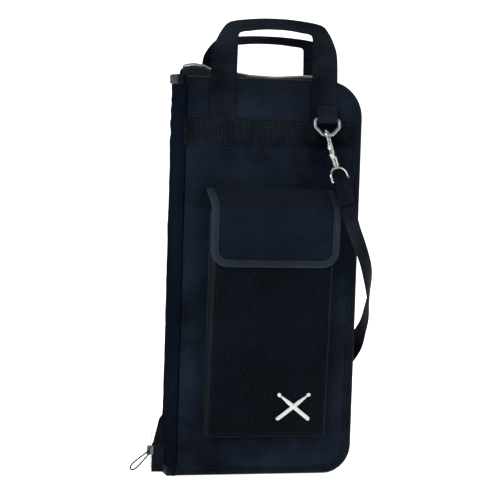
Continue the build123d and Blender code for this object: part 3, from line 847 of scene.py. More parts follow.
# ---- Zip ---------------------------------------------------------------------------------------
# A coil zip round three sides.  Each tape is sewn inside the edge tape and leans in to meet the
# other; at the top of the spine it stands up in a hump before it turns down.
TOOTH_PITCH = 0.0022
ZIP_TAPE_CLOTH = cloth_finish("zip_tape_cloth", (0.0030, 0.0040, 0.0060), (0.012, 0.015, 0.021), 0.0006,
                              roughness=0.7, relief=0.0002)
# how far the zip stands above its flat line, along the top from the spine to the free side
ZIP_RISE = [(-0.112, 0.0100), (-0.104, 0.0160), (-0.094, 0.0175), (-0.083, 0.0160), (-0.072, 0.0115),
            (-0.060, 0.0090), (-0.046, 0.0082), (-0.02, 0.0054), (0.004, 0.0046), (0.046, 0.0072),
            (0.062, 0.0066), (0.08, 0.0035), (0.12, 0.0)]
TAPE_PLEATS = [(0, 0), (0.25, 0.0004), (0.5, -0.0003), (0.75, 0.0003), (1, 0)]


def zip_rise(u, v):
    if v < 0.4:
        return 0.0
    for (u0, r0), (u1, r1) in zip(ZIP_RISE, ZIP_RISE[1:]):
        if u <= u1:
            return r0 + (r1 - r0) * eased(max(0.0, (u - u0) / (u1 - u0)))
    return 0.0


def zip_line(inset, step=0.004):
    line = []
    for u, v, nu, nv in outline_run(inset, step=step):
        lift = zip_rise(u, v)
        line.append((u, v - nv * lift if v > 0.4 else v, nu, nv))
    return line


def zip_tape(side):
    to_frame, body = SIDES[side]
    lip_y, swell = (-0.0018, 0.0) if side == "front" else (0.0018, 0.0042)
    rings, uvs, run = [], [], 0.0
    flat = outline_run(0.0052, step=0.004)
    for k, ((u, v, nu, nv), (ru, rv, _, _)) in enumerate(zip(flat, zip_line(0.0046))):
        if k:
            run += math.hypot(u - flat[k - 1][0], v - flat[k - 1][1])
        foot, lip, inward = to_frame(u, v, -0.0075), Vector((ru, lip_y, rv)), Vector((nu, 0, nv))
        rise = min(1.0, zip_rise(u, v) / 0.004)
        outer = []
        for share, pleat in TAPE_PLEATS:
            crown = swell * math.sin(math.pi * share) * rise
            waver = 0.0006 * noise.noise(Vector((u * 40, v * 40, share * 3)))
            outer.append(foot.lerp(lip, share ** 0.85) + inward * (pleat - crown + waver))
        rings.append(outer + [place + inward * 0.0009 for place in reversed(outer)])
        uvs += [(0.004 * j, run) for j in range(10)]
    dress(tube(f"{side}_zip_tape_cloth", rings, uvs), ZIP_TAPE_CLOTH, "zip_tape", body, f"{side}_zip_tape")


# one tooth, wider at its head: share towards the other half, length and height at each ring
TOOTH_RINGS = [(-0.35, 0.75, 0.8), (0.1, 0.7, 1.0), (0.5, 1.0, 1.0), (0.62, 0.7, 0.7)]
TOOTH_SECTION = [(-1, -1), (1, -1), (1, 0.6), (0.6, 1), (-0.6, 1), (-1, 0.6)]
TOOTH_LONG, TOOTH_REACH, TOOTH_HIGH = 0.0012, 0.0026, 0.0026


def zip_teeth(name, points, outs, sign, body, node):
    """Teeth one pitch apart along points; the two halves' teeth interleave."""
    verts, faces = [], []
    across = Vector((0, -sign, 0))
    first = TOOTH_PITCH * (0.5 if sign < 0 else 1.0)
    for index, place, along in spots_along(points, first, TOOTH_PITCH, 0.001):
        add_tube(verts, faces, [
            [place + across * (reach * TOOTH_REACH) + along * (b * TOOTH_LONG * long_ / 2)
             + outs[index] * (c * TOOTH_HIGH * high / 2) for b, c in TOOTH_SECTION]
            for reach, long_, high in TOOTH_RINGS])
    dress(mesh_object(name, verts, faces, smooth=False), TOOTH_PLASTIC, "zip_teeth", body, node)


def hard_finish(name, colour, dull, roughness, metal=True):
    """Plated metal or moulded plastic, with fine scratches and cloudy patches."""
    material = bpy.data.materials.new(name)
    material.use_nodes = True
    tree = material.node_tree
    shader = tree.nodes["Principled BSDF"]
    place = tree.nodes.new("ShaderNodeTexCoord").outputs["Object"]
    wear = place_group(tree, PLATING, Vector=place, Roughness=roughness, Color=(*colour, 1),
                       Dull_color=(*dull, 1))
    tree.links.new(wear.outputs["Color"], shader.inputs["Base Color"])
    tree.links.new(wear.outputs["Roughness"], shader.inputs["Roughness"])
    strength, depth = (0.15, 0.00005) if metal else (0.25, 0.0001)
    tree.links.new(bump_from(tree, wear.outputs["Height"], strength, depth), shader.inputs["Normal"])
    shader.inputs["Metallic"].default_value = 1.0 if metal else 0.0
    return material


TOOTH_PLASTIC = hard_finish("zip_tooth_plastic", (0.16, 0.17, 0.185), (0.42, 0.44, 0.46), 0.42, metal=False)

for side in SIDES:
    zip_tape(side)
    sign = -1 if side == "front" else 1
    run = zip_line(0.0029)
    zip_teeth(f"{side}_zip_tooth_row", [Vector((u, sign * 0.0011, v)) for u, v, _, _ in run],
              [Vector((-nu, 0, -nv)) for _, _, nu, nv in run], sign, SIDES[side][1], f"{side}_zip_teeth")

# ---- Zip tail, slider and pull -----------------------------------------------------------------
# The zip runs on past the foot of the spine: a short tape with its end folded into a sewn tab.  The
# slider is cast metal with a wire loop for a pull.
tail_low, tail_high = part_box("zip_tail_tape")
tab_low, tab_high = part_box("zip_end_tab")
tail_teeth_low, tail_teeth_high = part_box("zip_tail_teeth")


def grid_faces(columns, rows, base=0, turned=False):
    """Faces of a grid of points, columns by rows of cells."""
    faces = []
    for k in range(rows):
        for j in range(columns):
            p = base + k * (columns + 1) + j
            quad = (p, p + 1, p + columns + 2, p + columns + 1)
            faces.append(quad[::-1] if turned else quad)
    return faces


def sheet_object(name, columns, rows, verts, uvs):
    """Cloth with real thickness: two grids of points, joined round their rim."""
    layer, row = (columns + 1) * (rows + 1), columns + 1
    faces = grid_faces(columns, rows) + grid_faces(columns, rows, layer, turned=True)
    rim = [*range(columns), *(k * row + columns for k in range(rows)),
           *(layer - 1 - j for j in range(columns)), *((rows - k) * row for k in range(rows))]
    faces += [(q, p, p + layer, q + layer) for p, q in zip(rim, rim[1:] + rim[:1])]
    return mesh_object(name, verts, faces, uvs)


def soft_plate(name, corners, thick, wave, steps=12):
    """A small flat piece of cloth between four corners: rounded rim, slight waves."""
    a, b, c, d = (Vector(p) for p in corners)
    normal = (b - a).cross(d - a).normalized()
    verts, uvs = [], []
    for side_sign in (1, -1):
        for k in range(steps + 1):
            for j in range(steps + 1):
                s, t = j / steps, k / steps
                place = a.lerp(b, s).lerp(d.lerp(c, s), t)
                rim = min(1.0, 6 * min(s, 1 - s, t, 1 - t)) ** 0.5
                sway = wave * noise.noise(place * 70)
                verts.append(place + normal * (side_sign * thick / 2 * (0.35 + 0.65 * rim) + sway))
                uvs.append((s * (b - a).length, t * (d - a).length))
    return sheet_object(name, steps, steps, verts, uvs)


tape_foot = tab_high.z - 0.004
tail_tape = soft_plate("zip_tail_cloth", [(tail_low.x, 0, tape_foot), (tail_high.x + 0.0005, 0, tape_foot),
                                          (tail_high.x + 0.0015, 0, tail_high.z),
                                          ((tail_low.x + tail_high.x) / 2, 0, tail_high.z - 0.012)],
                       0.001, 0.0008)
dress(tail_tape, ZIP_TAPE_CLOTH, "zip_tape", "zip_tail", "zip_tail_tape")

tab_right = tab_high.x + 0.0035
end_tab = soft_plate("zip_end_cloth", [(tab_low.x, 0, tab_low.z), (tab_right, 0, tab_low.z),
                                       (tab_right, 0, tab_high.z), (tab_low.x, 0, tab_high.z)],
                     0.0026, 0.0003)
dress(end_tab, WEBBING, "webbing", "zip_tail", "zip_end_tab")
for face_name, face_sign in (("front", -1), ("back", 1)):
    for level in (0.006, 0.031):
        row = [Vector((tab_low.x + 0.0012 + 0.0107 * k / 6, face_sign * 0.00135, level)) for k in range(7)]
        stitch_row(f"zip_end_stitches_{face_name}_{round(level * 1000)}", row, Vector((0, face_sign, 0)),
                   "zip_tail", "webbing")

tail_x = (tail_teeth_low.x + tail_teeth_high.x) / 2
tail_rise = tail_teeth_high.z - tail_teeth_low.z
tail_run = [Vector((tail_x + 0.0006 * math.sin(k * 0.4), 0, tail_teeth_low.z + tail_rise * k / 20))
            for k in range(21)]
zip_teeth("zip_tail_tooth_row", tail_run, [Vector((-1, 0, 0))] * 21, -1, "zip_tail", "zip_tail_teeth")


def finish_nodes(material, *nodes):
    """Give carried-over hard parts their finish."""
    for node in nodes:
        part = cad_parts[node]
        for slot in part.material_slots:
            slot.material = material
        if not part.material_slots:
            part.data.materials.append(material)


SLIDER_METAL = hard_finish("slider_metal_finish", (0.16, 0.17, 0.19), (0.06, 0.065, 0.075), 0.34)
finish_nodes(SLIDER_METAL, "zip_slider")

PULL_SEAT = Vector((-0.1337, -0.0042, 0.027))
PULL_WAY = Vector((-0.726, 0.0, -0.687))
PULL_SIDE = Vector((-0.682, 0.0, 0.731))
PULL_WIRE = 0.00105
PULL_METAL = hard_finish("blackened_wire", (0.040, 0.043, 0.050), (0.016, 0.018, 0.022), 0.42)


def between(before, first, last, after, t):
    """Numbers part of the way from first to last on a smooth curve through all four."""
    return [0.5 * (2 * q + (r - p) * t + (2 * p - 5 * q + 4 * r - s) * t * t
                   + (3 * q - p - 3 * r + s) * t ** 3)
            for p, q, r, s in zip(before, first, last, after)]


def wire_pull():
    """A long loop of wire, pinched where it passes through the slider's bridge."""
    outline = [(0.0000, 0.0000), (0.0006, 0.0012), (0.0040, 0.0017), (0.0110, 0.0024), (0.0200, 0.0033),
               (0.0280, 0.0034), (0.0318, 0.0020), (0.0326, 0.0000)]
    closed = outline + [(a, -b) for a, b in reversed(outline[1:-1])]
    spots = []
    for k in range(len(closed)):
        near = [closed[(k + step) % len(closed)] for step in (-1, 0, 1, 2)]
        for step in range(6):
            a, b = between(*near, step / 6)
            spots.append(PULL_SEAT + PULL_WAY * a + PULL_SIDE * b)
    verts, faces = [], []
    total, through = len(spots), Vector((0, 1, 0))
    for k, place in enumerate(spots):
        along = (spots[(k + 1) % total] - spots[k - 1]).normalized()
        verts += circle(place, along.cross(through).normalized() * PULL_WIRE, through * PULL_WIRE, 10)
    for k in range(total):
        n = (k + 1) % total
        faces += [(k * 10 + j, k * 10 + (j + 1) % 10, n * 10 + (j + 1) % 10, n * 10 + j) for j in range(10)]
    dress(mesh_object("zip_wire_pull", verts, faces), PULL_METAL, "slider_metal", "pull", "zip_pull")


wire_pull()

# ---- Webbing bands -----------------------------------------------------------------------------
# A band of ribbed webbing sewn flat across each half under the handles, from the spine seam to the
# edge tape, held by one row of stitches along each selvedge.
RIB_PITCH = 0.0027
# Near-black between the ribs and much lighter on their crowns: painted highlight on the crowns and painted
# shade in the valleys, as well as wear.
RIBBED_WEBBING = cloth_finish("ribbed_webbing", (0.0002, 0.0004, 0.0008), (0.021, 0.027, 0.039), RIB_PITCH,
                              roughness=0.7, relief=0.0010, ribs=True, fading_and_highlight=1.0, specular=0.0, sheen=0.0)
band_low, band_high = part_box("front_webbing_band")
BAND_MIDDLE = (band_low.z + band_high.z) / 2
BAND_WIDTH = band_high.z - band_low.z


def raise_ribs(thing, pitch, height, outward):
    """Lift the outer face of a webbing mesh into real ribs across its run."""
    section_count = 2 * len(WEBBING_SECTION) - 2
    layer = thing.data.uv_layers[0].data
    run_of = {loop.vertex_index: layer[loop.index].uv[1] for loop in thing.data.loops}
    for vertex in thing.data.vertices:
        if 1 < vertex.index % section_count < len(WEBBING_SECTION) - 2:
            vertex.co += outward * (height * math.sin(math.tau * run_of[vertex.index] / pitch))


def webbing_band(side):
    to_frame, body = SIDES[side]
    outward = out_of(to_frame)
    left, right = PANEL_LEFT - 0.0005, band_high.x + 0.0022
    points, steps = [], 470
    for k in range(steps + 1):
        u = left + (right - left) * k / steps
        drift = 0.0003 * noise.noise(Vector((u * 18, 2, 0)))
        sit = 0.0012 + 0.0005 * noise.noise(Vector((u * 22, 0, 5)))
        end_dip = 0.0006 * max(0.0, 1 - (u - left) / 0.004)
        points.append(to_frame(u, BAND_MIDDLE + drift, sit - end_dip))
    band = ribbon(f"{side}_band_webbing", points, lambda share: outward, BAND_WIDTH, 0.0018)
    raise_ribs(band, RIB_PITCH, 0.00030, outward)
    dress(band, RIBBED_WEBBING, "webbing", body, f"{side}_webbing_band")
    for label, level in (("lower", BAND_MIDDLE - 0.0142), ("upper", BAND_MIDDLE + 0.0142)):
        row = seam_line(to_frame, (left, level), (right, level), 0.0023, 70)
        stitch_row(f"{side}_band_{label}_stitches", row, outward, body, "webbing")


for side in SIDES:
    webbing_band(side)

# ---- Carry handles -----------------------------------------------------------------------------
# Each handle is one length of 32 mm webbing.  Its legs are sewn flat under the band; above them it
# turns inward and is folded double lengthwise and sewn shut into a rounded, slightly arched grip.
LEG_INNER, LEG_OUTER = 0.047, 0.079
FOLD_LEVEL = 0.4773
LEG_SEAM = (0.4325, 0.4630)
# along the left-over half of a handle: inner edge, outer edge (along, up), out from the face,
# half thickness and roundness
HANDLE_STATIONS = [
    ((0.0470, 0.4270), (0.0790, 0.4270), 0.0016, 0.0009, 6.0),
    ((0.0470, 0.4400), (0.0790, 0.4400), 0.0024, 0.0009, 6.0),
    ((0.0470, 0.4560), (0.0790, 0.4560), 0.0026, 0.0009, 6.0),
    ((0.0470, 0.4680), (0.0790, 0.4680), 0.0034, 0.0009, 6.0),
    ((0.0470, 0.4800), (0.0790, 0.4800), 0.0036, 0.0010, 6.0),
    ((0.0468, 0.4930), (0.0788, 0.4930), 0.0030, 0.0011, 6.0),
    ((0.0466, 0.5060), (0.0782, 0.5050), 0.0026, 0.0012, 5.0),
    ((0.0464, 0.5180), (0.0765, 0.5155), 0.0024, 0.0015, 4.0),
    ((0.0462, 0.5262), (0.0720, 0.5268), 0.0023, 0.0024, 3.2),
    ((0.0458, 0.5305), (0.0660, 0.5370), 0.0022, 0.0038, 2.8),
    ((0.0440, 0.5330), (0.0590, 0.5445), 0.0022, 0.0052, 2.6),
    ((0.0400, 0.5343), (0.0490, 0.5475), 0.0022, 0.0061, 2.4),
    ((0.0330, 0.5352), (0.0370, 0.5492), 0.0022, 0.0064, 2.4),
    ((0.0220, 0.5368), (0.0240, 0.5505), 0.0022, 0.0065, 2.4),
    ((0.0100, 0.5378), (0.0105, 0.5513), 0.0022, 0.0065, 2.4),
]


def spread_stations(stations, per_gap):
    """Smooth rows between stations, on every one of their numbers."""
    flat = [(*a, *b, w, thick, power) for a, b, w, thick, power in stations]
    rows = []
    for k in range(len(flat) - 1):
        near = (flat[max(k - 1, 0)], flat[k], flat[k + 1], flat[min(k + 2, len(flat) - 1)])
        rows += [between(*near, step / per_gap) for step in range(per_gap)]
    return rows + [list(flat[-1])]


def carry_handle(side, label, drop):
    """drop lowers the folded part: the rear handle sits lower than the front one."""
    to_frame, body = SIDES[side]

    def lowered(point):
        return point[0], point[1] - drop / 0.06 * max(0.0, point[1] - 0.480)

    half = [(lowered(a), lowered(b), w, t, n) for a, b, w, t, n in HANDLE_STATIONS]
    mirrored = [((-a[0], a[1]), (-b[0], b[1]), w, t, n) for a, b, w, t, n in reversed(half)]
    rings, uvs = [], []
    run, last_middle = 0.0, None
    for iu, iv, ou, ov, w, thick, power in spread_stations(half + mirrored, 14):
        inner, outer = Vector((iu, iv)), Vector((ou, ov))
        middle = (inner + outer) / 2
        if last_middle is not None:
            run += (middle - last_middle).length
        last_middle = middle
        half_span = (outer - inner) / 2
        rib = 1 + (0.22 if thick < 0.002 else 0.05) * math.sin(math.tau * run / RIB_PITCH)
        lean = 0.0012 * noise.noise(Vector((run * 12, drop * 90, 1)))
        ring = []
        for j in range(28):
            c, s = math.cos(math.tau * j / 28), math.sin(math.tau * j / 28)
            a = math.copysign(abs(c) ** (2 / power), c)
            b = math.copysign(abs(s) ** (2 / power), s)
            spot = middle + half_span * a
            height = w + b * thick * rib
            if thick > 0.004 and s > 0.3:
                # the sewn groove along the folded grip
                height -= 0.0011 * math.exp(-((a + 0.05) / 0.10) ** 2) * min(1.0, (thick - 0.004) / 0.002)
            free = max(0.0, min(1.0, (spot.y - FOLD_LEVEL) / 0.03))
            ring.append(to_frame(spot.x, spot.y, height + lean * free))
            uvs.append((a * half_span.length, run))
        rings.append(ring)
    handle = tube(f"{label}_carry_handle", rings, uvs)
    dress(handle, RIBBED_WEBBING, "webbing", None, f"{label}_handle", f"{side}_handle_anchors")
    start, end = to_frame(0, FOLD_LEVEL - 0.007, 0.0022), to_frame(0, FOLD_LEVEL + 0.009, 0.0022)
    tuple(start)
    tuple(end)
    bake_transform(handle)
    low, high = LEG_SEAM
    for leg_name, leg in (("left", -1), ("right", 1)):
        inner, outer = leg * (LEG_INNER + 0.003), leg * (LEG_OUTER - 0.003)
        box = [(inner, low), (outer, low), (outer, high), (inner, high), (inner, low), (outer, high)]
        path = []
        for first, last in zip(box, box[1:]):
            path += seam_line(to_frame, first, last, 0.0038, 8)[:-1]
        stitch_row(f"{label}_leg_stitches_{leg_name}", path, out_of(to_frame), body, "webbing")


carry_handle("front", "front", 0.0)
carry_handle("back", "rear", 0.0165)

# ---- Ring tabs, rings, snap hooks and sewn strap ends ------------------------------------------
# A folded tab of webbing holds each D-ring under a handle leg.  The hooks are plated die castings with a
# sprung bolt and a swivel eye; the strap's ends are turned over the eyes and sewn through.
NICKEL = hard_finish("bright_nickel", (0.66, 0.65, 0.63), (0.34, 0.34, 0.34), 0.20)
DULL_RING = hard_finish("dull_ring_metal", (0.30, 0.335, 0.365), (0.18, 0.20, 0.22), 0.38)
SPRING_STEEL = hard_finish("spring_steel", (0.45, 0.45, 0.46), (0.25, 0.25, 0.26), 0.30)
BUCKLE_PLASTIC = hard_finish("black_buckle_plastic", (0.010, 0.011, 0.013), (0.03, 0.032, 0.036), 0.40,
                             metal=False)
for label in ("front", "rear"):
    finish_nodes(DULL_RING, f"{label}_d_ring")
    finish_nodes(NICKEL, f"{label}_snap_hook", f"{label}_hook_bolt", f"{label}_swivel_eye")
finish_nodes(BUCKLE_PLASTIC, "strap_adjuster")

TAB_WIDTH = 0.0252


def turned_rear(u, v, w):
    """The rear clip is the front one turned half round, so its along runs the other way."""
    place = on_cover(u, v, w)
    return Vector((-place.x, -place.y, place.z))


def turning_about(points, bar):
    """Facing for webbing that turns round a bar: square to its run and to the bar."""
    lengths = run_lengths(points)

    def facing(share):
        place = min(range(len(lengths)), key=lambda k: abs(lengths[k] - share * lengths[-1]))
        before, after = points[max(place - 1, 0)], points[min(place + 1, len(points) - 1)]
        return (after - before).normalized().cross(bar).normalized()

    return facing


# the tab's side view from its sewn end, round the bar and back: (up, out from the face)
TAB_PROFILE = [(0.4500, 0.0046), (0.4455, 0.0048), (0.4400, 0.0054), (0.4362, 0.0062), (0.4328, 0.0056),
               (0.4296, 0.0064), (0.4284, 0.0088), (0.4298, 0.0114), (0.4332, 0.0121), (0.4368, 0.0112),
               (0.4400, 0.0086), (0.4440, 0.0068), (0.4492, 0.0060)]


def ring_tab(label, to_frame, body, along=0.066):
    """Webbing round the ring's bar with both ends sewn under the handle leg."""
    points = smooth_run([to_frame(along, v, w) for v, w in TAB_PROFILE], f"{label}_tab_route")
    bar = (to_frame(0, 0.1, 0) - to_frame(1, 0.1, 0)).normalized()
    tab = ribbon(f"{label}_ring_webbing_tab", points, turning_about(points, bar), TAB_WIDTH, 0.0017)
    dress(tab, WEBBING, "webbing", body, f"{label}_ring_tab")
    for number, (level, height) in enumerate(((0.4425, 0.0086), (0.4470, 0.0073))):
        row = seam_line(to_frame, (along - 0.011, level), (along + 0.011, level), height, 8)
        stitch_row(f"{label}_tab_stitches_{number}", row, out_of(to_frame), body, "webbing")


ring_tab("front", on_cover, "front_cover")
ring_tab("rear", turned_rear, "back_half")

# each clip's ring end, the way up its axis, and the way of the eye's bar
CLIPS = {
    "front": (Vector((0.06656, -0.03090, 0.41391)), Vector((-0.269017, 0.186946, 0.944818)),
              Vector((0.825, 0.551, 0.126))),
    "rear": (Vector((-0.06526, 0.03784, 0.41391)), Vector((0.247906, -0.214153, 0.944818)),
             Vector((-0.8783, -0.4614, 0.126))),
}
EYE_BAR_DROP = 0.057
STRAP_FOLD = 0.030
SPRING_WIRE = 0.00028
SPRING_TURNS = 8


def bolt_spring(label):
    """A coil spring under the hook's bolt, sized from the CAD spring."""
    axis = CLIPS[label][1].normalized()
    spots = [vertex.co.copy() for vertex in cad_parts[f"{label}_bolt_spring"].data.vertices]
    middle = sum(spots, Vector()) / len(spots)
    levels = [(spot - middle).dot(axis) for spot in spots]
    low, high = min(levels) + SPRING_WIRE, max(levels) - SPRING_WIRE
    across = axis.orthogonal().normalized()
    side = axis.cross(across)
    radius = max(((spot - middle) - axis * (spot - middle).dot(axis)).length for spot in spots) - SPRING_WIRE
    count = SPRING_TURNS * 18
    line = []
    for k in range(count + 1):
        turn = math.tau * SPRING_TURNS * k / count
        line.append(middle + axis * (low + (high - low) * k / count)
                    + (across * math.cos(turn) + side * math.sin(turn)) * radius)
    rings = []
    for k, place in enumerate(line):
        along = (line[min(k + 1, count)] - line[max(k - 1, 0)]).normalized()
        out = along.cross(axis).normalized()
        rings.append(circle(place, out * SPRING_WIRE, out.cross(along) * SPRING_WIRE, 8))
    spring = dress(tube(f"{label}_coil_spring", rings), SPRING_STEEL, "spring_steel", f"{label}_hook",
                   f"{label}_bolt_spring")
    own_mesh(spring)
    return spring


springs = [bolt_spring(label) for label in CLIPS]


# the fold's side view, from the strap round the bar and back: (down from the bar, out)
FOLD_PROFILE = [(STRAP_FOLD + 0.001, -0.0011), (0.022, -0.0011), (0.013, -0.0011), (0.007, -0.0014),
                (0.003, -0.0026), (0.0, -0.0031), (-0.0029, -0.0020), (-0.0036, 0.0), (-0.0029, 0.0020),
                (0.0, 0.0031), (0.003, 0.0028), (0.007, 0.0017), (0.013, 0.0012), (0.022, 0.0012),
                (STRAP_FOLD, 0.0012)]


def sewn_strap_end(label):
    """The webbing turned round the eye's bar, its two layers sewn together."""
    origin, axis, bar = CLIPS[label]
    bar = (bar - axis * bar.dot(axis)).normalized()
    face = bar.cross(axis).normalized()
    if face.y * (1 if label == "front" else -1) > 0:
        face.negate()
    centre = origin - axis * EYE_BAR_DROP
    points = smooth_run([centre - axis * down + face * out for down, out in FOLD_PROFILE],
                        f"{label}_fold_route")
    fold = ribbon(f"{label}_sewn_strap_end", points, turning_about(points, bar), STRAP_WIDTH, STRAP_THICK)
    dress(fold, WEBBING, "webbing", f"{label}_eye", f"{label}_strap_end")
    for side_name, side_sign in (("in", -1), ("out", 1)):
        for number, down in enumerate((0.0105, 0.0270)):
            seam = centre - axis * down + face * (side_sign * 0.0024)
            row = [seam + bar * (-0.0105 + 0.021 * k / 8) for k in range(9)]
            stitch_row(f"{label}_fold_stitches_{number}_{side_name}", row, face * side_sign,
                       f"{label}_eye", "webbing")
    return fold


strap_ends = [sewn_strap_end(label) for label in CLIPS]

tuple(strap_points[0])
[tuple(p) for p in strap_points]

# ---- Front pocket ------------------------------------------------------------------------------
# A gusseted pocket of the same nylon: shallow at its foot and deeper at its mouth, with a piped
# seam down both sides, a turned hem and a strip of loop tape that holds the flap.
pocket_low, pocket_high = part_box("pocket")
POCKET_HALF = 0.074
POCKET_FOOT, POCKET_MOUTH = pocket_low.z, pocket_high.z
FOOT_DEPTH, MOUTH_DEPTH = 0.014, 0.028
POCKET_CLOTH = cloth_finish("pocket_nylon", (0.0009, 0.0018, 0.0034), (0.0050, 0.0090, 0.0150), 0.00062,
                            roughness=0.6, relief=0.00016, fading_and_highlight=0.5)


def pocket_depth(v):
    share = (v - POCKET_FOOT) / (POCKET_MOUTH - POCKET_FOOT)
    return FOOT_DEPTH + (MOUTH_DEPTH - FOOT_DEPTH) * share


def pocket_bag():
    across = [(-1.0, 0.02), (-1.0, 0.35), (-1.0, 0.7), (-0.997, 0.9), (-0.985, 0.98)]
    across += [(-0.955 + 1.91 * k / 30, 1.0) for k in range(31)]
    across += [(0.985, 0.98), (0.997, 0.9), (1.0, 0.7), (1.0, 0.35), (1.0, 0.02)]
    rows = [(POCKET_FOOT, 0.02), (POCKET_FOOT - 0.0002, 0.4), (POCKET_FOOT, 0.8),
            (POCKET_FOOT + 0.001, 0.96)]
    rows += [(POCKET_FOOT + 0.004 + (POCKET_MOUTH - POCKET_FOOT - 0.004) * k / 54, 1.0) for k in range(55)]
    verts = [(a * POCKET_HALF, v, max(0.0005, b * fill * pocket_depth(v)))
             for v, fill in rows for a, b in across]
    uvs = [(a * POCKET_HALF + b * pocket_depth(v) * a, v) for v, _ in rows for a, b in across]
    count = len(across)
    bag = mesh_object("pocket_bag", verts, grid_faces(count - 1, len(rows) - 1), uvs)
    held = [k * count + j for k in range(len(rows)) for j in range(count)
            if k < 5 or across[j][1] < 0.5 or k == len(rows) - 1
            or 0.9 < abs(across[j][0]) and across[j][1] > 0.9]
    billow(bag, held, 1.6, 0.0030, slack=0.006)
    for vertex in bag.data.vertices:
        u, v, w = vertex.co
        if w > pocket_depth(v) * 0.9:
            side_share = max(0.0, 1 - abs(u) / POCKET_HALF)
            foot_share = min(1.0, max(0.0, (v - POCKET_FOOT) / 0.03))
            vertex.co.z += (0.0016 * min(1.0, side_share * 4) * foot_share
                            + crease(Vector((u, v, 9)), (1.3, 0.5, 1), 22, 0.0011) * foot_share)
        elif 0.004 < w:
            vertex.co.x -= math.copysign(0.0012 * math.sin(math.pi * w / pocket_depth(v)), u)
    subdivide(bag)
    wall = bag.modifiers.new("wall", "SOLIDIFY")
    wall.thickness = 0.0012
    wall.offset = -1
    apply_modifiers(bag)
    for vertex in bag.data.vertices:
        vertex.co = on_cover(vertex.co.x, vertex.co.y, max(vertex.co.z, 0.0004))
    bag.data.materials.clear()
    bag.data.materials.append(POCKET_CLOTH)
    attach(bag, "front_cover")
    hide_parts("pocket")


pocket_bag()

cover_out = out_of(on_cover)
for label, leg in (("left", -1), ("right", 1)):
    levels = [POCKET_FOOT + 0.003 + (POCKET_MOUTH - POCKET_FOOT - 0.004) * k / 80 for k in range(81)]
    corner = [on_cover(leg * (POCKET_HALF - 0.0012), v, pocket_depth(v) + 0.0006) for v in levels]
    way = (cover_out + Vector((leg, 0, 0)) * 0.8).normalized()
    pipe = ribbon(f"pocket_{label}_piping", corner, lambda share: way, 0.0030, 0.0020)
    dress(pipe, BINDING_TAPE, "shell_nylon", "front_cover")
    levels = [POCKET_FOOT + 0.004 + (POCKET_MOUTH - POCKET_FOOT - 0.008) * k / 60 for k in range(61)]
    row = [on_cover(leg * (POCKET_HALF - 0.0048), v, pocket_depth(v) + 0.0014) for v in levels]
    stitch_row(f"pocket_{label}_stitches", row, cover_out, "front_cover", "shell_nylon")
foot_level = POCKET_FOOT + 0.0055
foot_row = seam_line(on_cover, (-0.068, foot_level), (0.068, foot_level), FOOT_DEPTH + 0.0012, 40)
stitch_row("pocket_foot_stitches", foot_row, cover_out, "front_cover", "shell_nylon")

hem_level = POCKET_MOUTH - 0.0045
hem_points = seam_line(on_cover, (-0.0705, hem_level), (0.0705, hem_level), MOUTH_DEPTH + 0.0005, 60)
hem = ribbon("pocket_turned_hem", hem_points, lambda share: cover_out, 0.009, 0.0016)
dress(hem, BINDING_TAPE, "edge_binding", "front_cover", "pocket_hem")

# ---- Pocket flap -------------------------------------------------------------------------------
# Padded nylon sewn to the cover along its top, bent forward over the pocket's mouth, with rounded
# lower corners and a folded tape round its free edge.  Hook tape inside meets loop tape below it.
FLAP_HALF = 0.080
FLAP_OUT = 0.0315
FLAP_CORNER = 0.022
FLAP_THICK = 0.0028
FLAP_CLOTH = cloth_finish("flap_nylon", (0.0018, 0.0034, 0.0072), (0.0110, 0.0185, 0.0325), 0.00062,
                          roughness=0.55, relief=0.00016, fading_and_highlight=0.6)
FLAP_TAPE = cloth_finish("flap_binding_tape", (0.0085, 0.0130, 0.0215), (0.036, 0.050, 0.074), 0.00085,
                         roughness=0.5, relief=0.0003, ribs=True, fading_and_highlight=0.7)
# the flap's side view from its seam: (up, out from the face)
FLAP_PROFILE = [(0.3480, 0.0012), (0.3465, 0.0030), (0.3450, 0.0070), (0.3425, 0.0130), (0.3390, 0.0205),
                (0.3345, 0.0275), (0.3295, 0.0312), (0.3240, 0.0322), (0.3120, 0.0322), (0.2950, 0.0320),
                (0.2750, 0.0318), (0.2550, 0.0314)]
flap_curve = smooth_run([Vector((0, v, w)) for v, w in FLAP_PROFILE], "flap_profile")
flap_lengths = run_lengths(flap_curve)
FLAP_LONG = flap_lengths[-1]


def flap_spot(u, s):
    """Cover-frame place of a point on the flap: u along, s down its profile from the seam."""
    s = min(max(s, 0.0), FLAP_LONG - 1e-6)
    k = max(j for j in range(len(flap_lengths)) if flap_lengths[j] <= s)
    k = min(k, len(flap_lengths) - 2)
    share = (s - flap_lengths[k]) / (flap_lengths[k + 1] - flap_lengths[k])
    spot = flap_curve[k].lerp(flap_curve[k + 1], share)
    down = s / FLAP_LONG
    middle = max(0.0, 1 - (u / FLAP_HALF) ** 2)
    shoulder = max(0.0, abs(u) / FLAP_HALF - 0.72) / 0.28
    sag = 0.0048 * shoulder ** 2 * max(0.0, 1 - abs(spot.y - 0.338) / 0.014)
    wrinkle = crease(Vector((u, spot.y, 4)), (1, 1, 1), 20, 0.0007)
    out = spot.z + 0.0022 * middle * min(1.0, down * 3) - sag + wrinkle
    return Vector((u, spot.y + 0.0014 * middle * max(0.0, 1 - down * 3) - sag * 0.5, out))


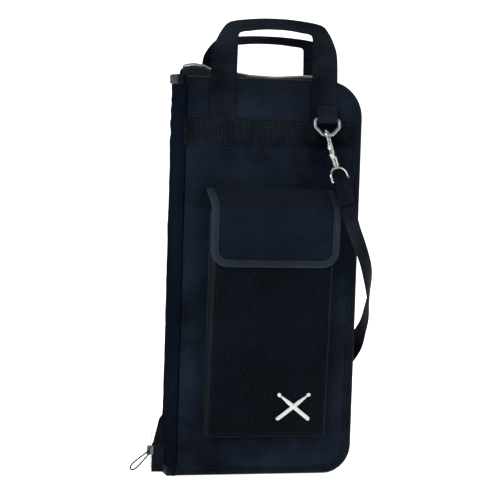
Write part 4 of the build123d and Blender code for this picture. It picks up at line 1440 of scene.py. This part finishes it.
def flap_outline(inset):
    """(u, s) down the left side, along the foot and up the right side."""
    side, foot, radius = FLAP_HALF - inset, FLAP_LONG - inset, FLAP_CORNER - inset
    turn_u, turn_s = FLAP_HALF - FLAP_CORNER, FLAP_LONG - FLAP_CORNER
    turns = [math.radians(90 * k / 14) for k in range(15)]
    out = [(-side, 0.002 + (turn_s - 0.002) * k / 26) for k in range(26)]
    out += [(-turn_u - radius * math.cos(turn), turn_s + radius * math.sin(turn)) for turn in turns[:-1]]
    out += [(-turn_u + 2 * turn_u * k / 30, foot) for k in range(30)]
    out += [(turn_u + radius * math.cos(turn), turn_s + radius * math.sin(turn)) for turn in turns[:0:-1]]
    out += [(side, turn_s - (turn_s - 0.002) * k / 26) for k in range(27)]
    return out


def flap_out_way(u, s):
    """Outward direction of the flap's surface in the cover frame."""
    step = 0.0015
    along = flap_spot(u + step, s) - flap_spot(u - step, s)
    down = flap_spot(u, min(s + step, FLAP_LONG)) - flap_spot(u, max(s - step, 0.0))
    return down.cross(along).normalized()


def flap_piece(thing, finish, slot, *nodes):
    """A flap piece's finish and the CAD nodes it stands for, with its placement baked into its points."""
    dress(thing, finish, slot, None, *nodes)
    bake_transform(thing)


def flap_body():
    across, down = 46, 44
    verts, uvs = [], []
    for layer in (0, 1):
        for k in range(down + 1):
            s = (FLAP_LONG - 0.003) * k / down
            rest = FLAP_LONG - 0.003 - s
            half = FLAP_HALF - 0.003
            if rest < FLAP_CORNER:
                half -= FLAP_CORNER - math.sqrt(max(0.0, FLAP_CORNER ** 2 - (FLAP_CORNER - rest) ** 2))
            for j in range(across + 1):
                u = (-1 + 2 * j / across) * half
                inside = half > abs(u) and rest > 0
                rim = min(1.0, min(half - abs(u), rest) / 0.010) ** 0.5 if inside else 0.0
                puff = 0.0010 * rim if layer == 0 else -FLAP_THICK
                verts.append(on_cover(*(flap_spot(u, s) + flap_out_way(u, s) * puff)))
                uvs.append((u, s))
    flap = sheet_object("flap_padded_cloth", across, down, verts, uvs)
    subdivide(flap)
    flap_piece(flap, FLAP_CLOTH, "shell_nylon", "flap_panel")


flap_body()

FLAP_TAPE_SECTION = [
    (0.0092, 0.0008), (0.0090, 0.0019), (0.0068, 0.0018), (0.0062, 0.0011), (0.0052, 0.0017),
    (0.0036, 0.0022), (0.0016, 0.0018), (0.0002, 0.0004), (0.0000, -0.0012), (0.0006, -0.0030),
    (0.0026, -0.0038), (0.0090, -0.0037), (0.0092, -0.0026),
]


def flap_binding():
    runs = {inset: flap_outline(inset) for inset, _ in FLAP_TAPE_SECTION}
    edge = runs[0.0]
    rings, uvs, run = [], [], 0.0
    for k, (u0, s0) in enumerate(edge):
        if k:
            run += math.hypot(u0 - edge[k - 1][0], s0 - edge[k - 1][1])
        ring = []
        for inset, height in FLAP_TAPE_SECTION:
            u, s = runs[inset][k]
            ripple = 1 + 0.2 * noise.noise(Vector((u * 70, s * 70, inset * 150)))
            ring.append(on_cover(*(flap_spot(u, s) + flap_out_way(u, s) * height * ripple)))
            uvs.append((inset + height, run))
        rings.append(ring)
    flap_piece(tube("flap_edge_tape", rings, uvs), FLAP_TAPE, "edge_binding", "flap_binding")
    line, ways = [], []
    for u, s in flap_outline(0.0062):
        way = flap_out_way(u, s)
        spot = flap_spot(u, s) + way * 0.0012
        line.append(on_cover(*spot))
        ways.append(on_cover(*(spot + way)) - on_cover(*spot))
    row = stitch_row("flap_edge_stitches", line, ways, None, length=0.0024, gap=0.0012)
    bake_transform(row)
    lift = Vector((0, 0.0004, 0.0005))
    seam = [on_cover(*(flap_spot(-0.077 + 0.154 * k / 40, 0.0028) + lift)) for k in range(41)]
    row = stitch_row("flap_seam_stitches", seam, cover_out, None)
    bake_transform(row)


flap_binding()


def touch_patch(name, node, out, rough, hooked):
    """Hook or loop tape: a thin square-cornered patch with a bristly or fuzzy face."""
    random.seed(11 if hooked else 12)
    low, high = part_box(node)
    middle_u, half_u, half_v, middle_v = 0.0015, 0.030, 0.012, (low.z + high.z) / 2
    columns, rows = 60, 24
    count = columns + 1
    sign = -1 if hooked else 1

    def spot(j, k, w):
        return on_cover(middle_u - half_u + 2 * half_u * j / columns,
                        middle_v - half_v + 2 * half_v * k / rows, w)

    verts = []
    for k in range(rows + 1):
        for j in range(count):
            on_edge = min(j, columns - j, k, rows - k) == 0
            verts.append(spot(j, k, out + sign * (0.0003 if on_edge else rough * (0.5 + random.random()))))
    base = len(verts)
    verts += [spot(j, k, out - sign * 0.0008) for k, j in ((0, 0), (0, columns), (rows, columns), (rows, 0))]
    edges = [list(range(count)), [k * count + columns for k in range(rows + 1)],
             [rows * count + j for j in range(columns, -1, -1)],
             [(rows - k) * count for k in range(rows + 1)]]
    faces = grid_faces(columns, rows) + [(base, base + 3, base + 2, base + 1)]
    for number, edge in enumerate(edges):
        faces.append((*reversed(edge), base + number, base + (number + 1) % 4))
    patch = mesh_object(name, verts, faces)
    if hooked:
        flap_piece(patch, TOUCH_TAPE, "touch_tape", node)
    else:
        dress(patch, TOUCH_TAPE, "touch_tape", "front_cover", node)


TOUCH_TAPE = cloth_finish("touch_tape_nylon", (0.006, 0.007, 0.009), (0.022, 0.025, 0.03), 0.0004,
                           roughness=0.8,
                          relief=0.0003)
touch_patch("pocket_loop_tape", "pocket_loop_patch", pocket_depth(0.284) + 0.0030, 0.0009, False)
touch_patch("flap_hook_tape", "flap_hook_patch", FLAP_OUT - FLAP_THICK + 0.0022, 0.0005, True)

# ---- Emblem ------------------------------------------------------------------------------------
# Two crossed drumsticks embroidered in white satin stitch on the pocket's lower right: raised
# threads laid side by side across each stick, over a row of underlay.
WHITE_THREAD = cloth_finish("white_embroidery_thread", (0.70, 0.71, 0.70), (0.86, 0.87, 0.86), 0.0005,
                             roughness=0.42,
                            relief=0.00005, fading_and_highlight=0.3, lint=0.0, specular=0.5)
EMBLEM_ALONG, EMBLEM_UP = 0.033, 0.0855
STICK_LONG = 0.052
THREAD_PITCH = 0.00042


def stick_half_width(share):
    """A stick's outline: bead tip, neck, taper and a plain rounded butt."""
    if share < 0.10:
        return 0.0021 * math.sin(math.pi * (share / 0.10) * 0.92 + 0.10) + 0.0004
    if share < 0.34:
        return 0.0010 + 0.0014 * (share - 0.10) / 0.24
    return 0.0024 * (1.0 if share < 0.96 else math.sqrt(max(0.05, 1 - ((share - 0.96) / 0.045) ** 2)))


pocket_cloth = bpy.data.objects["pocket_bag"].data
POCKET_SURFACE = BVHTree.FromPolygons([v.co for v in pocket_cloth.vertices],
                                      [p.vertices[:] for p in pocket_cloth.polygons])


def pocket_surface(u, v):
    """How far the pocket's cloth stands off the cover at a place, read from its finished mesh."""
    start = on_cover(u, v, 0.08)
    hit = POCKET_SURFACE.ray_cast(start, -cover_out)[0]
    return 0.08 - (start - hit).length if hit else pocket_depth(v) + 0.001


THREAD_SECTION = [(-1, 0), (0, 1), (1, 0), (0, -0.6)]


def embroidered_stick(name, tilt, lift, *nodes):
    turn = math.radians(tilt)
    run = Vector((math.sin(turn), math.cos(turn)))
    side = Vector((run.y, -run.x))
    verts, faces = [], []
    count = round(STICK_LONG / THREAD_PITCH)
    for k in range(count):
        share = (k + 0.5) / count
        half = stick_half_width(share) + 0.00008 * math.sin(k * 2.4)
        centre = Vector((EMBLEM_ALONG, EMBLEM_UP)) + run * ((0.5 - share) * STICK_LONG)
        rings = []
        for a in (-1, -0.88, -0.5, 0, 0.5, 0.88, 1):
            spot = centre + side * (a * half) + run * (a * 0.00035)
            height = pocket_surface(spot.x, spot.y) + lift + math.sqrt(1 - a * a) * 0.0010
            rings.append([on_cover(*(spot + run * (b * THREAD_PITCH * 0.52)), height + c * 0.00022)
                          for b, c in THREAD_SECTION])
        add_tube(verts, faces, rings)
    dress(mesh_object(name, verts, faces), WHITE_THREAD, "white_thread", "front_cover", *nodes)


embroidered_stick("emblem_stick_left", 52, 0.0002, "emblem_patch")
embroidered_stick("emblem_stick_right", -52, 0.0009)

# ---- Inside: stick sleeve and inner pocket -----------------------------------------------------
# The rear half holds a sleeve of lining cloth sewn into four upright channels for sticks, bound along
# its top; the cover has a plain flat pocket.  Both are sewn round their sides and foot.
sleeve_low, sleeve_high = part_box("stick_sleeve")
SLEEVE_LEFT, SLEEVE_RIGHT = sleeve_low.x + 0.0006, sleeve_high.x - 0.0006
CHANNELS = 4
LINING_LEVEL = -0.0082


def sleeve_spot(u, v):
    """The channels' swelling into the bag, less at the foot."""
    share = (u - SLEEVE_LEFT) / (SLEEVE_RIGHT - SLEEVE_LEFT) * CHANNELS
    arch = abs(math.sin(math.pi * share)) ** 0.55
    foot = min(1.0, (v - sleeve_low.z) / 0.03) ** 0.5 if v > sleeve_low.z else 0.0
    room = 0.0076 - 0.0022 * max(0.0, u / 0.09)
    return LINING_LEVEL + (crease(Vector((u, v, 2)), (1, 0.4, 1), 24, 0.0006) - room) * arch * foot


def lining_sheet(name, to_frame, finish, slot, body, node, across, up, spot, cells, thick=0.0011):
    """Cloth over a half's lining, where spot(along, up) gives its outer face."""
    (left, right), (low, high), (columns, rows) = across, up, cells
    verts, uvs = [], []
    for depth in (thick, 0):
        for k in range(rows + 1):
            v = low + (high - low) * k / rows
            for j in range(columns + 1):
                u = left + (right - left) * j / columns
                verts.append(to_frame(u, v, spot(u, v) - depth))
                uvs.append((u, v))
    return dress(sheet_object(name, columns, rows, verts, uvs), finish, slot, body, node)


SLEEVE_ACROSS = (SLEEVE_LEFT, SLEEVE_RIGHT)
sleeve = lining_sheet("stick_sleeve_cloth", on_rear, LINING_CLOTH, "lining", "back_half", "stick_sleeve",
                      SLEEVE_ACROSS, (sleeve_low.z, sleeve_high.z - 0.0006), sleeve_spot, (96, 60))
lining_sheet("stick_sleeve_top_tape", on_rear, BINDING_TAPE, "edge_binding", "back_half", "sleeve_binding",
             SLEEVE_ACROSS, (sleeve_high.z - 0.009, sleeve_high.z),
             lambda u, v: sleeve_spot(u, v) + 0.0009, (96, 3), thick=0.0030)
for seam in range(CHANNELS + 1):
    u = SLEEVE_LEFT + (SLEEVE_RIGHT - SLEEVE_LEFT) * seam / CHANNELS
    u = min(max(u, SLEEVE_LEFT + 0.002), SLEEVE_RIGHT - 0.002)
    foot = sleeve_low.z + 0.004
    row = seam_line(on_rear, (u, foot), (u, foot + 0.27), LINING_LEVEL - 0.0014, 40)
    stitch_row(f"sleeve_channel_stitches_{seam}", row, cover_out, "back_half", "lining")

inner_low, inner_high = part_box("inner_pocket")
INNER_LEFT, INNER_RIGHT = inner_low.x + 0.0006, inner_high.x - 0.0006


def inner_pocket_spot(u, v):
    across = abs(2 * (u - INNER_LEFT) / (INNER_RIGHT - INNER_LEFT) - 1)
    foot = min(1.0, (v - inner_low.z) / 0.03) ** 0.5 if v > inner_low.z else 0.0
    wrinkle = crease(Vector((u, v, 7)), (1, 0.6, 1), 24, 0.0007)
    return LINING_LEVEL + (wrinkle - 0.0066 * (1 - across ** 5)) * foot


inner = lining_sheet("inner_pocket_cloth", on_cover, LINING_CLOTH, "lining", "front_cover", "inner_pocket",
                     (INNER_LEFT, INNER_RIGHT), (inner_low.z, inner_high.z), inner_pocket_spot, (50, 50))
